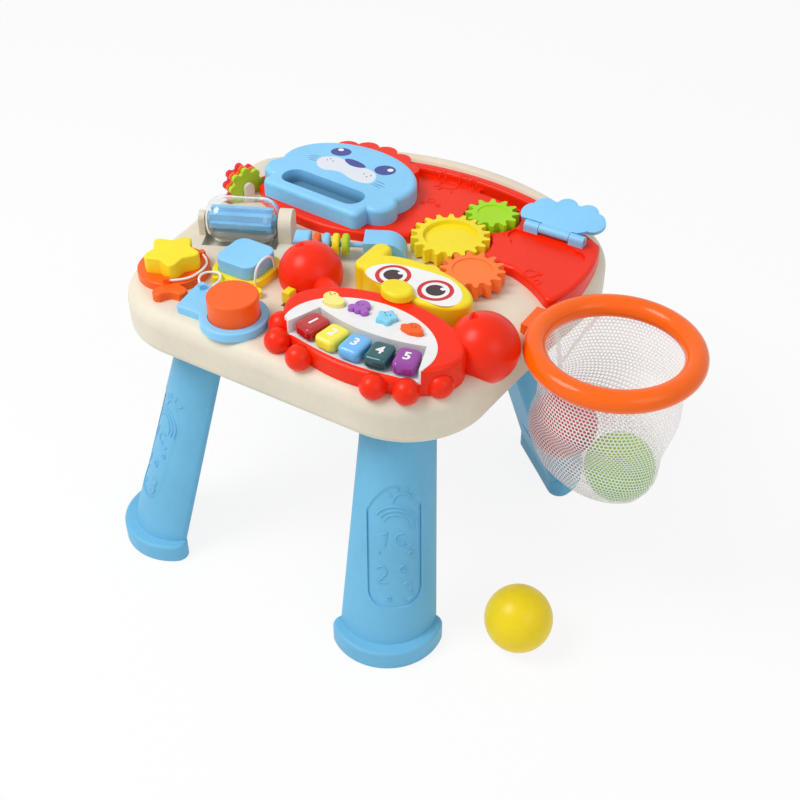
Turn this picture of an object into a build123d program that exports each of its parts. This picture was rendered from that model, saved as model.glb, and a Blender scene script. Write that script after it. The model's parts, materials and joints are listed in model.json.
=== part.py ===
from build123d import *
import os
from math import atan2, cos, degrees, hypot, pi, radians, sin

os.makedirs("parts", exist_ok=True)

# Sea-side activity table: a four-legged play tray with keys, gears, spinners, shape blocks and a ball net.
# The tray's middle stands over the plan's origin while the pieces are made. +Y is the far side.

# Tray
tray_width = 362
tray_depth = 373
tray_flare = 28
tray_trim = 10
right_flare = 19
tray_waist = 4
tray_shoulder = 272
tray_height = 42
leg_length = 214
cover_height = 13
wall = 2.6
front_corner_round = 75
back_corner_round = 34
right_corner_round = 95
tray_edge_round = 14
tray_base_round = 9
lip_radius = 6
lip_inset = 13
lip_reach_shares = {"left": 0.9, "right": 0.7}
cut_overrun = 2
slide_gap = 0.35
spin_gap = 0.3
seat_gap = 0.15

# Screws that hold the bottom cover
screw_shares = ((-0.80, -0.40), (0.80, -0.36), (-0.30, -0.86), (0.30, -0.86), (-0.62, 0.50), (0.62, 0.50))
screw_radius = 1.6
screw_length = 17
screw_head_radius = 3.2
screw_head_height = 2.2
boss_radius = 5

# Legs
leg_foot_width = 90
leg_foot_depth = 38
leg_top_width = 62
leg_top_depth = 34
leg_wall = 3
leg_corner_round = 6
skirt_lip = 5
skirt_height = 18
skirt_round = 3
spigot_inset = 5
spigot_height = 18
collar_wall = 2.4
leg_plate = 4
panel_width = 46
panel_height = 128
panel_round = 14
panel_depth = 1.6
panel_rise = 8
leg_places = {
    "leg_front": {"socket_shares": (0.527, -0.646), "foot_shares": (0.690, -1.008), "turn": -56.8},
    "leg_back": {"socket_shares": (0.575, 0.091), "foot_shares": (0.775, 0.426), "turn": 49.1},
}

# Deck panel
deck_thickness = 10
deck_edge_round = 4
deck_corner_round = 14
deck_floor = 2
deck_skirt = 11
deck_start_shares = (-0.925, 0.188)
deck_dip_shares = (-0.342, -0.010)
deck_rise_shares = (0.099, 0.150)
deck_fall_shares = (0.663, 0.140)
deck_bend_shares = (0.806, 0.075)
deck_end_shares = (0.945, -0.035)
deck_side_shares = (1.000, 0.230)
deck_right_shares = (0.940, 0.545)
deck_crown_shares = (0.055, 0.788)
deck_left_shares = (-0.873, 0.472)
bar_width = 10
bar_rise = 7
bar_round = 3
bar_angle = 62
bar_sweep = 44
slot_width = 7
slot_angle = 68
slot_sweep = 18
mane_count = 5
mane_radius = 12
mane_rise = 12
mane_start = 48
mane_step = 20
flap_recess_depth = 2.5

# Gears
gear_module = 3.72
gear_teeth = {"gear_yellow": 18, "gear_orange": 14, "gear_green": 12}
gear_shares = (0.282, 0.201)
gear_orange_angle = -41.3
gear_green_angle = 76.0
gear_height = 13
gear_addendum_share = 0.72
gear_dedendum_share = 0.92
tooth_share = 0.41
tooth_taper_share = 0.62
tooth_round = 0.9
gear_rim = 5
gear_dish = 4
gear_step = 0.8
gear_lift = 0.3
pin_radius = 4
pin_foot_radius = 3
pin_foot_length = 8
pin_reach = 6.5

# Animal face with a finger slot
face_shares = (-0.453, 0.375)
face_turn = -4
face_width = 146
face_depth = 104
face_thickness = 17
face_round = 5
cheek_radius = 17
cheek_spread_share = 0.80
cheek_drop = 28
grip_length = 114
grip_depth = 30
grip_drop = 46
grip_corner_round = 7
pocket_length = 92
pocket_width = 26
pocket_drop = 38
pocket_depth = 13
pocket_round = 12
face_hole_radius = 2.6
face_hole_spacing = 40

# Crab piano
crab_shares = (0.420, -0.697)
crab_length = 164
crab_depth = 93
crab_height = 25
crab_round = 4
crab_lip_round = 5
key_row_radius = 170
key_step = 7.6
key_width = 20
key_depth = 25
key_height = 9
key_round = 3.6
key_corner_round = 5
key_travel = 2.5
key_row_drop = 26
key_ledge = 12
key_lip = 16
key_floor = 4
key_stem_width = 11
key_stem_depth = 13
key_flange = 1.6
key_flange_height = 2
key_margin = 1.2
key_back_margin = 4
key_bed = 1.6
key_rest_gap = 0.4
panel_thickness = 3
panel_sink = 2.6
panel_length = 134
panel_span = 98
panel_drop = 18
panel_shift = 2
button_travel = 2
button_rise = 4
button_flange = 1.4
button_flange_height = 1.8
button_stem_radius = 3
button_wall = 3
button_shares = ((-0.54, 0.215), (-0.25, 0.28), (0.06, 0.28), (0.38, 0.20))
button_names = ("button_yellow", "button_purple", "button_blue", "button_orange")
button_length = 20
button_depth = 13
button_arm_radius = 3
button_round = 1
key_names = ("key_red", "key_yellow", "key_light_blue", "key_teal", "key_purple")
board_thickness = 1.6
board_margin = 3
pad_thickness = 1
pad_margin = 6
knob_radius = 11
knob_lift = 7
knob_shares = ((-0.97, -0.36), (-0.84, -0.80), (-0.50, -1.00), (0.36, -1.00), (0.67, -0.82), (0.89, -0.36))
dome_share = 0.9992
claw_radii = {"left": 28.5, "right": 30}
claw_lift = 8
claw_notch_width = 16
claw_notch_depth = 7
notch_bearing = 122
claw_shares = {"left": (-1.25, 1.25), "right": (0.963, 0.905)}
arm_radius = 10
arm_lift = 9
arm_root_share = 0.72

# Fish with the big eyes
fish_shares = (0.400, -0.303)
fish_turn = -7
fish_length = 112
fish_depth = 52
fish_height = 27
fish_round = 4
fish_gap = 0.6
fin_radius = 9
fin_foot_shares = (-0.93, -0.20)
fin_tip_shares = (-0.99, 0.78)
bump_radius = 11
bump_shares = (-0.12, 0.92)
bump_rise = 20
beak_length = 30
beak_depth = 24
beak_drop = 26
beak_thickness = 8
beak_round = 3.4

# Bead rod
bead_shares = (-0.100, -0.116)
bead_turn = 28
bead_height = 13
rod_radius = 2.2
rod_span = 48
rod_sink = 6
bead_radius = 10
bead_thickness = 6.4
bead_pitch = 8.6
bead_round = 2.4
bead_first = 5.5
bead_names = ("bead_orange", "bead_light_blue", "bead_yellow", "bead_lime")
left_post_length = 15
left_post_width = 20
right_post_length = 38
right_post_width = 24
post_height = 22
post_round = 3
post_sweep = 18

# Clear drum
drum_shares = (-0.685, -0.218)
drum_turn = 25
drum_radius = 22
drum_length = 68
drum_wall = 1.6
drum_round = 16
drum_height = 15
drum_hub_radius = 6
drum_pin_radius = 3
drum_well_gap = 1.5
drum_post_widths = {"left": 6, "right": 12}
drum_post_radii = {"left": 7, "right": 13}
drum_gap = 0.8
drum_pin_length = 6
paddle_width = 26
paddle_step = 9
paddle_thickness = 5
paddle_inset = 4

# Wavy discs
disc_shares = (-0.952, 0.118)
disc_turn = -22
disc_radius = 14.6
disc_wave_radius = 4.2
disc_waves = 8
disc_thickness = 4.4
disc_pitch = 5.6
disc_height = 9
disc_pin_radius = 2.4
disc_ear_width = 10
disc_ear_thickness = 4
disc_names = ("disc_red", "disc_orange", "disc_lime")
disc_well_gap = 1.6

# Shape blocks and the frames that they sit in
frame_height = 8
frame_floor = 2
frame_wall = 5
frame_round = 1.6
block_gap = 0.5
block_round = 1.5
tie_size = 5
tie_rise = 4.6
star_shares = (-0.758, -0.668)
star_turn = 92
star_radius = 29
star_inner_radius = 17
star_point_round = 5
star_notch_round = 4
star_block_height = 21
star_frame_radius = 32
star_tail_reach = 41
star_tail_radius = 6.5
star_tail_spread = 8.5
star_tail_turn = -55
square_shares = (-0.452, -0.490)
square_width = 41
square_round = 10
square_block_height = 19
square_leg_radius = 5
square_leg_share = 1.45
square_scallops = 4
square_scallop_radius = 4
square_scallop_pitch = 9
circle_shares = (-0.247, -0.842)
circle_radius = 22
circle_rim = 2
circle_tail_unit = 24
circle_block_height = 26
circle_tail_shares = ((-0.83, -0.58), (-2.10, -0.64), (-2.36, 1.06), (-0.58, 0.83))
circle_tail_round = 3

# Shell flap and its hinge
flap_shares = (0.715, 0.485)
flap_angle = 23
flap_tilt = 8
flap_thickness = 4
flap_body_length = 33
flap_body_depth = 17
flap_centre = 17
flap_lobes = 5
flap_lobe_radius = 11
flap_lobe_length = 29
flap_lobe_depth = 11
knuckle_radius = 4.5
knuckle_length = 14
middle_knuckle_length = 30
knuckle_gap = 0.5
hinge_rise = 5
hinge_pin_radius = 1.8

# Slide switch
switch_shares = (-0.134, -0.576)
switch_width = 8
switch_length = 10
switch_height = 11
switch_stem = 4
switch_travel = 7
switch_flange = 2
switch_round = 1.5

# Hoop, net and balls
hoop_x = 246.8
hoop_y_share = -0.193
hoop_rise = 8
hoop_radius = 64.8
hoop_tube_radius = 9.6
bracket_width = 30
bracket_y_share = -0.150
bracket_drop = 28
bracket_grip = 10
tongue_width = 22
tongue_height = 9
tongue_length = 9
tongue_lift = 3
net_thickness = 1.4
net_top_radius = 61
net_neck_radius = 60
net_belly_radius = 68
net_base_radius = 63
net_toe_radius = 50
net_neck_drop = 50
net_belly_drop = 99
net_base_drop = 122
net_toe_drop = 143
net_lean_shares = (-0.172, 0.057)
ball_radius = 30
red_ball_shares = (-0.6702, 0.2240)
red_ball_drop = 105.87
green_ball_shares = (0.3022, -0.0909)
green_ball_drop = 111.02
yellow_ball_shares = (1.262, -0.738)

# Underside pieces
speaker_shares = (-0.20, -0.48)
speaker_radius = 22
speaker_height = 9
grille_ring_radius = 11
grille_hole_radius = 2
grille_holes = 8
door_shares = (-0.20, 0.25)
door_length = 74
door_width = 52
door_ledge = 4
door_round = 4

# White cords that tie the blocks to the tray: route points as offsets from each block's middle, and from
# the top of the tray
tether_radius = 1.1
tether_bend_share = 0.45
tether_height = 10
arch_height = 25
tether_routes = {
    "tether_star": (
        (14.2, 23.8, tether_height), (24.5, 18.3, tether_height), (29.5, 6, tether_height),
        (29, -8, tether_height), (24.5, -17.5, tether_height), (15.6, -24, tether_height),
    ),
    "tether_square": (
        (23.9, -19, frame_height), (23.9, -19, arch_height), (23.9, 9, arch_height), (23.9, 9, frame_height),
    ),
    "tether_circle": (
        (-28.5, 9.5, tether_height), (-40, 19, tether_height), (-39, 31, tether_height),
        (-47, 42, tether_height), (-60, 35, tether_height), (-58, 23, tether_height),
        (-49.5, 17.5, tether_height),
    ),
}
tether_blocks = {"tether_star": star_shares, "tether_square": square_shares, "tether_circle": circle_shares}

pieces = []


def keep(piece, name):
    """Label a finished piece and put it with the others."""
    piece.label = name
    pieces.append(piece)


def spot(shares):
    """Place in plan, from shares of the tray's half width and half depth."""
    return (shares[0] * tray_width / 2, shares[1] * tray_depth / 2)


def level(place, height, turn=0):
    """Level plane over a place, turned about the upright."""
    facing = (cos(radians(turn)), sin(radians(turn)), 0)
    return Plane(origin=(place[0], place[1], height), x_dir=facing, z_dir=(0, 0, 1))


def across(place, height, turn, along=0):
    """Plane square to a level axle: its normal runs along the axle and its X is up."""
    axis = (cos(radians(turn)), sin(radians(turn)), 0)
    origin = (place[0] + along * axis[0], place[1] + along * axis[1], height)
    return Plane(origin=origin, x_dir=(0, 0, 1), z_dir=axis)


def moved(place, turn, along, aside=0):
    """Place reached by going along and aside in a turned direction."""
    c, s = cos(radians(turn)), sin(radians(turn))
    return (place[0] + along * c - aside * s, place[1] + along * s + aside * c)


tray_base = leg_length
parting = tray_base + cover_height
tray_top = tray_base + tray_height
deck_top = tray_top + deck_thickness


arc_half = tray_width / 2 + tray_flare
arc_sagitta = tray_depth - tray_shoulder
back_radius = (arc_half ** 2 + arc_sagitta ** 2) / (2 * arc_sagitta)
back_centre = tray_depth / 2 - back_radius


def tray_outline(height, inset):
    """Plan of the tray at a height, drawn in evenly by inset."""
    half_front = tray_width / 2 - inset
    half_back = arc_half - inset
    half_waist = tray_width / 2 + tray_waist - inset
    right_back = tray_width / 2 - tray_trim + right_flare - inset
    right_shoulder = back_centre + ((back_radius - inset) ** 2 - right_back ** 2) ** 0.5
    front = inset - tray_depth / 2
    shoulder = back_centre + ((back_radius - inset) ** 2 - half_back ** 2) ** 0.5
    waist = (tray_shoulder - tray_depth) / 2
    with BuildSketch(Plane.XY.offset(height)) as outline:
        with BuildLine():
            Line((-half_front, front), (half_front - tray_trim, front))
            ThreePointArc((half_front - tray_trim, front), (half_waist - tray_trim, waist),
                          (right_back, right_shoulder))
            ThreePointArc((right_back, right_shoulder), (0, tray_depth / 2 - inset), (-half_back, shoulder))
            ThreePointArc((-half_back, shoulder), (-half_waist, waist), (-half_front, front))
        make_face()
        fillet(outline.vertices().sort_by(Axis.Y)[:2], front_corner_round - inset)
        fillet(outline.vertices().sort_by(Axis.X)[0], back_corner_round - inset)
        fillet(outline.vertices().sort_by(Axis.X)[-1], right_corner_round - inset)
    return outline.sketch


# Tray upper shell
with BuildPart() as tray_blank:
    extrude(tray_outline(parting, 0), amount=tray_top - parting)
    fillet(tray_blank.faces().sort_by(Axis.Z)[-1].edges(), tray_edge_round)

gear_radius = {name: gear_module * teeth / 2 for name, teeth in gear_teeth.items()}
gear_addendum = gear_addendum_share * gear_module
gear_dedendum = gear_dedendum_share * gear_module
gear_centre = {"gear_yellow": spot(gear_shares)}
gear_angles = {"gear_orange": gear_orange_angle, "gear_green": gear_green_angle}
for name, angle in gear_angles.items():
    spacing = gear_radius["gear_yellow"] + gear_radius[name]
    gear_centre[name] = moved(gear_centre["gear_yellow"], angle, spacing)

drum_place = spot(drum_shares)
drum_z = tray_top + drum_height
drum_well_half = drum_radius + drum_well_gap
drum_well_length = drum_length + 2 * drum_gap
drum_well_floor = drum_z - drum_well_half
disc_place = spot(disc_shares)
disc_z = tray_top + disc_height
disc_reach = disc_radius + disc_wave_radius
disc_stack = 3 * disc_pitch
disc_stand_length = disc_stack + 2 * disc_ear_thickness
disc_well_half = disc_reach + disc_well_gap
disc_well_floor = disc_z - disc_well_half
switch_place = spot(switch_shares)

with BuildPart() as tray_core:
    extrude(tray_outline(parting, wall), amount=tray_top - wall - parting)
    fillet(tray_core.faces().sort_by(Axis.Z)[-1].edges(), tray_edge_round - wall)
    with BuildSketch(level(drum_place, drum_well_floor - wall, drum_turn)):
        Rectangle(drum_well_length + 2 * wall, 2 * drum_well_half + 2 * wall)
    with BuildSketch(level(disc_place, disc_well_floor - wall, disc_turn)):
        Rectangle(disc_stack + 2 * wall, 2 * disc_well_half + 2 * wall)
    extrude(amount=tray_height, mode=Mode.SUBTRACT)
    with BuildSketch(Plane.XY.offset(parting)):
        with Locations(*[spot(s) for s in screw_shares]):
            Circle(boss_radius)
    extrude(amount=tray_height, mode=Mode.SUBTRACT)

lip_path_radius = back_radius - lip_inset
lip_half = {side: share * tray_width / 2 for side, share in lip_reach_shares.items()}
lip_angle = {side: degrees(atan2(half, (lip_path_radius ** 2 - half ** 2) ** 0.5)) for side, half in lip_half.items()}
bracket_y = bracket_y_share * tray_depth / 2
bracket_x = tray_width / 2 + tray_waist - tray_trim - bracket_grip
side_x = tray_outline(parting, 0).bounding_box().max.X

with BuildPart() as tray_top_shell:
    add(tray_blank.part)
    add(tray_core.part, mode=Mode.SUBTRACT)
    with BuildLine() as lip_path:
        CenterArc((0, back_centre, tray_top), lip_path_radius, 90 - lip_angle["right"],
                  lip_angle["left"] + lip_angle["right"])
    with BuildSketch(Plane(origin=lip_path.line @ 0, z_dir=lip_path.line % 0)):
        Circle(lip_radius)
    sweep(path=lip_path.line)
    with Locations(lip_path.line @ 0, lip_path.line @ 1):
        Sphere(lip_radius)
    add(tray_core.part, mode=Mode.SUBTRACT)
    with BuildSketch(level(drum_place, drum_well_floor, drum_turn)):
        Rectangle(drum_well_length, 2 * drum_well_half)
    with BuildSketch(level(disc_place, disc_well_floor, disc_turn)):
        Rectangle(disc_stack, 2 * disc_well_half)
    extrude(amount=tray_height, mode=Mode.SUBTRACT)
    with BuildSketch(Plane.XY.offset(parting)):
        with Locations(*[spot(s) for s in screw_shares]):
            Circle(screw_radius + seat_gap)
    extrude(amount=screw_length, mode=Mode.SUBTRACT)
    with BuildSketch(Plane.XY.offset(tray_top - wall - cut_overrun)):
        with Locations(*gear_centre.values()):
            Circle(pin_foot_radius + seat_gap)
        with Locations((switch_place[0], switch_place[1] - switch_travel / 2)):
            Rectangle(switch_stem + 2 * slide_gap, switch_stem + switch_travel + 4 * slide_gap)
    extrude(amount=wall + 2 * cut_overrun, mode=Mode.SUBTRACT)
    with BuildSketch(Plane(origin=(0, bracket_y, parting + tongue_lift), x_dir=(0, 1, 0), z_dir=(1, 0, 0))):
        with Locations((0, tongue_height / 2)):
            Rectangle(tongue_width + 2 * seat_gap, tongue_height + 2 * seat_gap)
    extrude(amount=side_x + cut_overrun, mode=Mode.SUBTRACT)
keep(tray_top_shell.part, "tray_top_shell")


# Legs, each a hollow half-round post with a skirted foot and a spigot
def half_round(plane, width, depth, inset=0):
    """Half-round section: flat side through the plane's origin, crown along +Y."""
    with BuildSketch(plane) as section:
        with BuildLine():
            Line((-width / 2, 0), (width / 2, 0))
            ThreePointArc((width / 2, 0), (0, depth), (-width / 2, 0))
        make_face()
        fillet(section.vertices(), leg_corner_round)
        if inset:
            offset(amount=-inset)
    return section.sketch


def leg_planes(place, side):
    """Foot and socket planes of a leg, their +Y pointing out from the table."""
    turn = place["turn"] if side > 0 else 180 - place["turn"]
    facing = turn - 90
    foot = spot(place["foot_shares"])
    socket = spot(place["socket_shares"])
    foot_plane = level((side * foot[0], foot[1]), 0, facing)
    socket_plane = level((side * socket[0], socket[1]), tray_base, facing)
    return foot_plane, socket_plane


def leg_body(foot_plane, socket_plane, inset=0):
    """Lower and upper section of a leg's post."""
    return [
        half_round(foot_plane, leg_foot_width, leg_foot_depth, inset).face(),
        half_round(socket_plane, leg_top_width, leg_top_depth, inset).face(),
    ]


leg_sides = {"left": -1, "right": 1}
for row, place in leg_places.items():
    for side_name, side in leg_sides.items():
        foot_plane, socket_plane = leg_planes(place, side)
        middle = (foot_plane.origin + socket_plane.origin) / 2 + Vector(0, 0, panel_rise)
        window_origin = middle + foot_plane.y_dir * (leg_top_depth / 2)
        with BuildPart() as panel_recess:
            loft(leg_body(foot_plane, socket_plane))
            loft(leg_body(foot_plane, socket_plane, panel_depth), mode=Mode.SUBTRACT)
            with BuildSketch(Plane(origin=window_origin, x_dir=foot_plane.x_dir, z_dir=foot_plane.y_dir)):
                RectangleRounded(panel_width, panel_height, panel_round)
            extrude(amount=leg_length, mode=Mode.INTERSECT)
        with BuildPart() as leg:
            extrude(half_round(foot_plane, leg_foot_width, leg_foot_depth, -skirt_lip), amount=skirt_height)
            fillet(leg.faces().sort_by(Axis.Z)[-1].edges(), skirt_round)
            loft(leg_body(foot_plane, socket_plane))
            loft(leg_body(foot_plane, socket_plane, leg_wall), mode=Mode.SUBTRACT)
            extrude(half_round(socket_plane, leg_top_width, leg_top_depth, leg_wall / 2), amount=-leg_plate)
            extrude(half_round(socket_plane, leg_top_width, leg_top_depth, spigot_inset), amount=spigot_height)
            add(panel_recess.part, mode=Mode.SUBTRACT)
        keep(leg.part, f"{row}_{side_name}")

# Tray bottom cover, with leg sockets, screw posts, speaker grille and battery opening
speaker_place = spot(speaker_shares)
door_place = spot(door_shares)
cover_floor = tray_base + wall
with BuildPart() as cover_core:
    extrude(tray_outline(cover_floor, wall), amount=cover_height)
    fillet(cover_core.faces().sort_by(Axis.Z)[0].edges(), tray_base_round - wall)
    with BuildSketch(Plane.XY.offset(cover_floor)):
        with Locations(*[spot(s) for s in screw_shares]):
            Circle(boss_radius)
    extrude(amount=parting - cover_floor, mode=Mode.SUBTRACT)

with BuildPart() as tray_bottom_cover:
    extrude(tray_outline(tray_base, 0), amount=cover_height)
    fillet(tray_bottom_cover.faces().sort_by(Axis.Z)[0].edges(), tray_base_round)
    add(cover_core.part, mode=Mode.SUBTRACT)
    for place in leg_places.values():
        for side in leg_sides.values():
            socket_plane = leg_planes(place, side)[1]
            sleeve = spigot_inset - seat_gap - collar_wall
            extrude(half_round(socket_plane, leg_top_width, leg_top_depth, sleeve), amount=spigot_height)
            sleeve = spigot_inset - seat_gap
            extrude(half_round(socket_plane, leg_top_width, leg_top_depth, sleeve), amount=leg_length,
                    mode=Mode.SUBTRACT)
    with BuildSketch(Plane.XY.offset(tray_base)):
        with Locations(*[spot(s) for s in screw_shares]):
            Circle(screw_radius + seat_gap)
    extrude(amount=cover_height, mode=Mode.SUBTRACT)
    with BuildSketch(Plane.XY.offset(tray_base)):
        with Locations(*[spot(s) for s in screw_shares]):
            Circle(screw_head_radius + seat_gap)
    extrude(amount=screw_head_height, mode=Mode.SUBTRACT)
    with BuildSketch(level(door_place, cover_floor)):
        RectangleRounded(door_length + 2 * wall, door_width + 2 * wall, door_round)
        RectangleRounded(door_length - 2 * door_ledge, door_width - 2 * door_ledge, door_round,
                         mode=Mode.SUBTRACT)
    extrude(amount=wall)
    with BuildSketch(level(door_place, tray_base)):
        RectangleRounded(door_length, door_width, door_round)
    extrude(amount=wall, mode=Mode.SUBTRACT)
    with BuildSketch(level(speaker_place, tray_base)):
        Circle(grille_hole_radius)
        with PolarLocations(grille_ring_radius, grille_holes):
            Circle(grille_hole_radius)
    extrude(amount=wall, mode=Mode.SUBTRACT)
keep(tray_bottom_cover.part, "tray_bottom_cover")

with BuildPart() as cover_screws:
    with BuildSketch(Plane.XY.offset(tray_base)):
        with Locations(*[spot(s) for s in screw_shares]):
            Circle(screw_head_radius)
    extrude(amount=screw_head_height)
    with BuildSketch(Plane.XY.offset(tray_base)):
        with Locations(*[spot(s) for s in screw_shares]):
            Circle(screw_radius)
    extrude(amount=screw_length)
keep(cover_screws.part, "cover_screws")

with BuildPart() as battery_door:
    with BuildSketch(level(door_place, tray_base)):
        RectangleRounded(door_length - 2 * seat_gap, door_width - 2 * seat_gap, door_round - seat_gap)
    extrude(amount=wall)
keep(battery_door.part, "battery_door")

with BuildPart() as speaker:
    with BuildSketch(level(speaker_place, cover_floor)):
        Circle(speaker_radius)
        Circle(grille_ring_radius + grille_hole_radius, mode=Mode.SUBTRACT)
    extrude(amount=speaker_height / 3)
    with BuildSketch(level(speaker_place, cover_floor + speaker_height / 3)) as cone_rim:
        Circle(speaker_radius)
    with BuildSketch(level(speaker_place, cover_floor + speaker_height)) as cone_back:
        Circle(speaker_radius / 2)
    loft()
keep(speaker.part, "speaker")

# Deck panel: the raised fan at the far side, with gear wells, a grab bar and the bumps behind the animal face
face_place = spot(face_shares)
flap_place = spot(flap_shares)


def face_outline(height, grow=0):
    """Plan of the animal face: head, cheeks and grip bar, grown evenly."""
    cheek_x = cheek_spread_share * face_width / 2
    with BuildSketch(level(face_place, height, face_turn)) as outline:
        Ellipse(face_width / 2 + grow, face_depth / 2 + grow)
        with Locations((-cheek_x, -cheek_drop), (cheek_x, -cheek_drop)):
            Circle(cheek_radius + grow)
        with Locations((0, -grip_drop)):
            RectangleRounded(grip_length + 2 * grow, grip_depth + 2 * grow, grip_corner_round + grow)
    return outline.sketch


def shell_outline(plane, tilt):
    """Scalloped shell: a wide body and a fan of lobes, a little tilted, cut straight near the plane's X axis."""
    fan = [radians(180 * i / (flap_lobes - 1)) for i in range(flap_lobes)]
    with BuildSketch(plane) as outline:
        with Locations(Location((0, flap_centre, 0), (0, 0, tilt))):
            Ellipse(flap_body_length, flap_body_depth)
            with Locations(*[(flap_lobe_length * cos(a), flap_lobe_depth * sin(a)) for a in fan]):
                Circle(flap_lobe_radius)
        with Locations((0, knuckle_radius + knuckle_gap)):
            Rectangle(4 * flap_body_length, 4 * flap_body_length, align=(Align.CENTER, Align.MIN),
                      mode=Mode.INTERSECT)
    return outline.sketch


with BuildSketch(Plane.XY.offset(tray_top)) as deck_plan:
    with BuildLine():
        ThreePointArc(spot(deck_start_shares), spot(deck_dip_shares), spot(deck_rise_shares))
        Line(spot(deck_rise_shares), spot(deck_fall_shares))
        ThreePointArc(spot(deck_fall_shares), spot(deck_bend_shares), spot(deck_end_shares))
        ThreePointArc(spot(deck_end_shares), spot(deck_side_shares), spot(deck_right_shares))
        deck_back = ThreePointArc(spot(deck_right_shares), spot(deck_crown_shares), spot(deck_left_shares))
        Line(spot(deck_left_shares), spot(deck_start_shares))
    make_face()
    fillet(deck_plan.vertices(), deck_corner_round / 2)

bar_centre = deck_back.arc_center
bar_radius = deck_back.radius - deck_edge_round - bar_width / 2
slot_radius = bar_radius - bar_width / 2 - slot_width / 2
pocket_floor = tray_top + deck_floor
with BuildPart() as deck_panel:
    extrude(deck_plan.sketch, amount=deck_thickness)
    fillet(deck_panel.faces().sort_by(Axis.Z)[-1].edges(), deck_edge_round)
    extrude(deck_plan.sketch, amount=-deck_skirt)
    add(tray_blank.part, mode=Mode.SUBTRACT)
    with BuildSketch(Plane.XY.offset(tray_top)):
        SlotArc(CenterArc(bar_centre, bar_radius, bar_angle, bar_sweep, mode=Mode.PRIVATE), bar_width)
    extrude(amount=deck_thickness + bar_rise)
    fillet(deck_panel.faces().filter_by(Plane.XY).sort_by(Axis.Z)[-1].edges(), bar_round)
    with BuildSketch(Plane.XY.offset(tray_top)):
        with Locations(level(face_place, 0, face_turn)):
            with PolarLocations(face_depth / 2 + mane_radius / 2, mane_count, mane_start,
                                mane_step * (mane_count - 1), endpoint=True):
                Circle(mane_radius)
        add(face_outline(tray_top, 2 * slide_gap), mode=Mode.SUBTRACT)
    extrude(amount=deck_thickness + mane_rise)
    with BuildSketch(level(disc_place, tray_top, disc_turn)):
        Rectangle(disc_stand_length + 2 * slide_gap, 2 * disc_well_half)
    extrude(amount=tray_height, mode=Mode.SUBTRACT)
    with BuildSketch(Plane.XY.offset(tray_top)):
        SlotArc(CenterArc(bar_centre, slot_radius, slot_angle, slot_sweep, mode=Mode.PRIVATE), slot_width)
    extrude(amount=deck_thickness, mode=Mode.SUBTRACT)
    for name, centre in gear_centre.items():
        with BuildSketch(level(centre, pocket_floor)):
            Circle(gear_radius[name] + gear_addendum + slot_width / 3)
        extrude(amount=tray_height, mode=Mode.SUBTRACT)
        if name != "gear_orange":
            with BuildSketch(level(centre, tray_top)):
                Circle(gear_radius[name] - gear_dedendum)
            extrude(amount=deck_floor)
        with BuildSketch(level(centre, tray_top)):
            Circle(pin_foot_radius + seat_gap)
        extrude(amount=deck_floor, mode=Mode.SUBTRACT)
    extrude(shell_outline(level(flap_place, deck_top - flap_recess_depth, 180), -flap_tilt),
            amount=flap_recess_depth, mode=Mode.SUBTRACT)
keep(deck_panel.part, "deck_panel")

# Gears, toothed all round, and the pins that they turn on
gear_base = pocket_floor + gear_lift
gear_phase = {"gear_yellow": gear_orange_angle}
for name, angle in gear_angles.items():
    driver_turn = gear_teeth["gear_yellow"] * (gear_phase["gear_yellow"] - angle)
    gear_phase[name] = angle + 180 + (180 - driver_turn) / gear_teeth[name]
tooth_half = tooth_share * pi * gear_module / 2
tip_half = tooth_taper_share * tooth_half
root_half = tooth_half + (tooth_half - tip_half) * gear_dedendum_share / gear_addendum_share
for name, teeth in gear_teeth.items():
    root_radius = gear_radius[name] - gear_dedendum
    tip_radius = gear_radius[name] + gear_addendum
    with BuildPart() as gear:
        with BuildSketch(level(gear_centre[name], gear_base)):
            Circle(root_radius)
            with PolarLocations(0, teeth, gear_phase[name]):
                Polygon((root_radius - tooth_round, -root_half), (tip_radius, -tip_half), (tip_radius, tip_half),
                        (root_radius - tooth_round, root_half), align=None)
        extrude(amount=gear_height)
        with BuildSketch(level(gear_centre[name], gear_base)):
            Circle(pin_radius + spin_gap)
        extrude(amount=pin_reach + gear_lift, mode=Mode.SUBTRACT)
        dish_depth = gear_dish if name == "gear_yellow" else gear_step
        with BuildSketch(level(gear_centre[name], gear_base + gear_height - dish_depth)):
            Circle(root_radius - gear_rim)
        extrude(amount=dish_depth, mode=Mode.SUBTRACT)
    keep(gear.part, name)

with BuildPart() as gear_pins:
    with BuildSketch(Plane.XY.offset(pocket_floor)):
        with Locations(*gear_centre.values()):
            Circle(pin_radius)
    extrude(amount=pin_reach)
    with BuildSketch(Plane.XY.offset(pocket_floor)):
        with Locations(*gear_centre.values()):
            Circle(pin_foot_radius)
    extrude(amount=-pin_foot_length)
keep(gear_pins.part, "gear_pins")

# Animal face
face_top = deck_top + face_thickness
pocket_place = moved(face_place, face_turn, 0, -pocket_drop)
with BuildPart() as face_plate:
    extrude(face_outline(deck_top), amount=face_thickness)
    fillet(face_plate.faces().sort_by(Axis.Z)[-1].edges(), face_round)
    with BuildSketch(level(pocket_place, face_top - pocket_depth, face_turn)):
        RectangleRounded(pocket_length, pocket_width, pocket_round)
    extrude(amount=pocket_depth, mode=Mode.SUBTRACT)
    with BuildSketch(level(pocket_place, deck_top, face_turn)):
        with GridLocations(face_hole_spacing, 0, 2, 1):
            Circle(face_hole_radius)
    extrude(amount=face_thickness, mode=Mode.SUBTRACT)
keep(face_plate.part, "face_plate")

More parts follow.
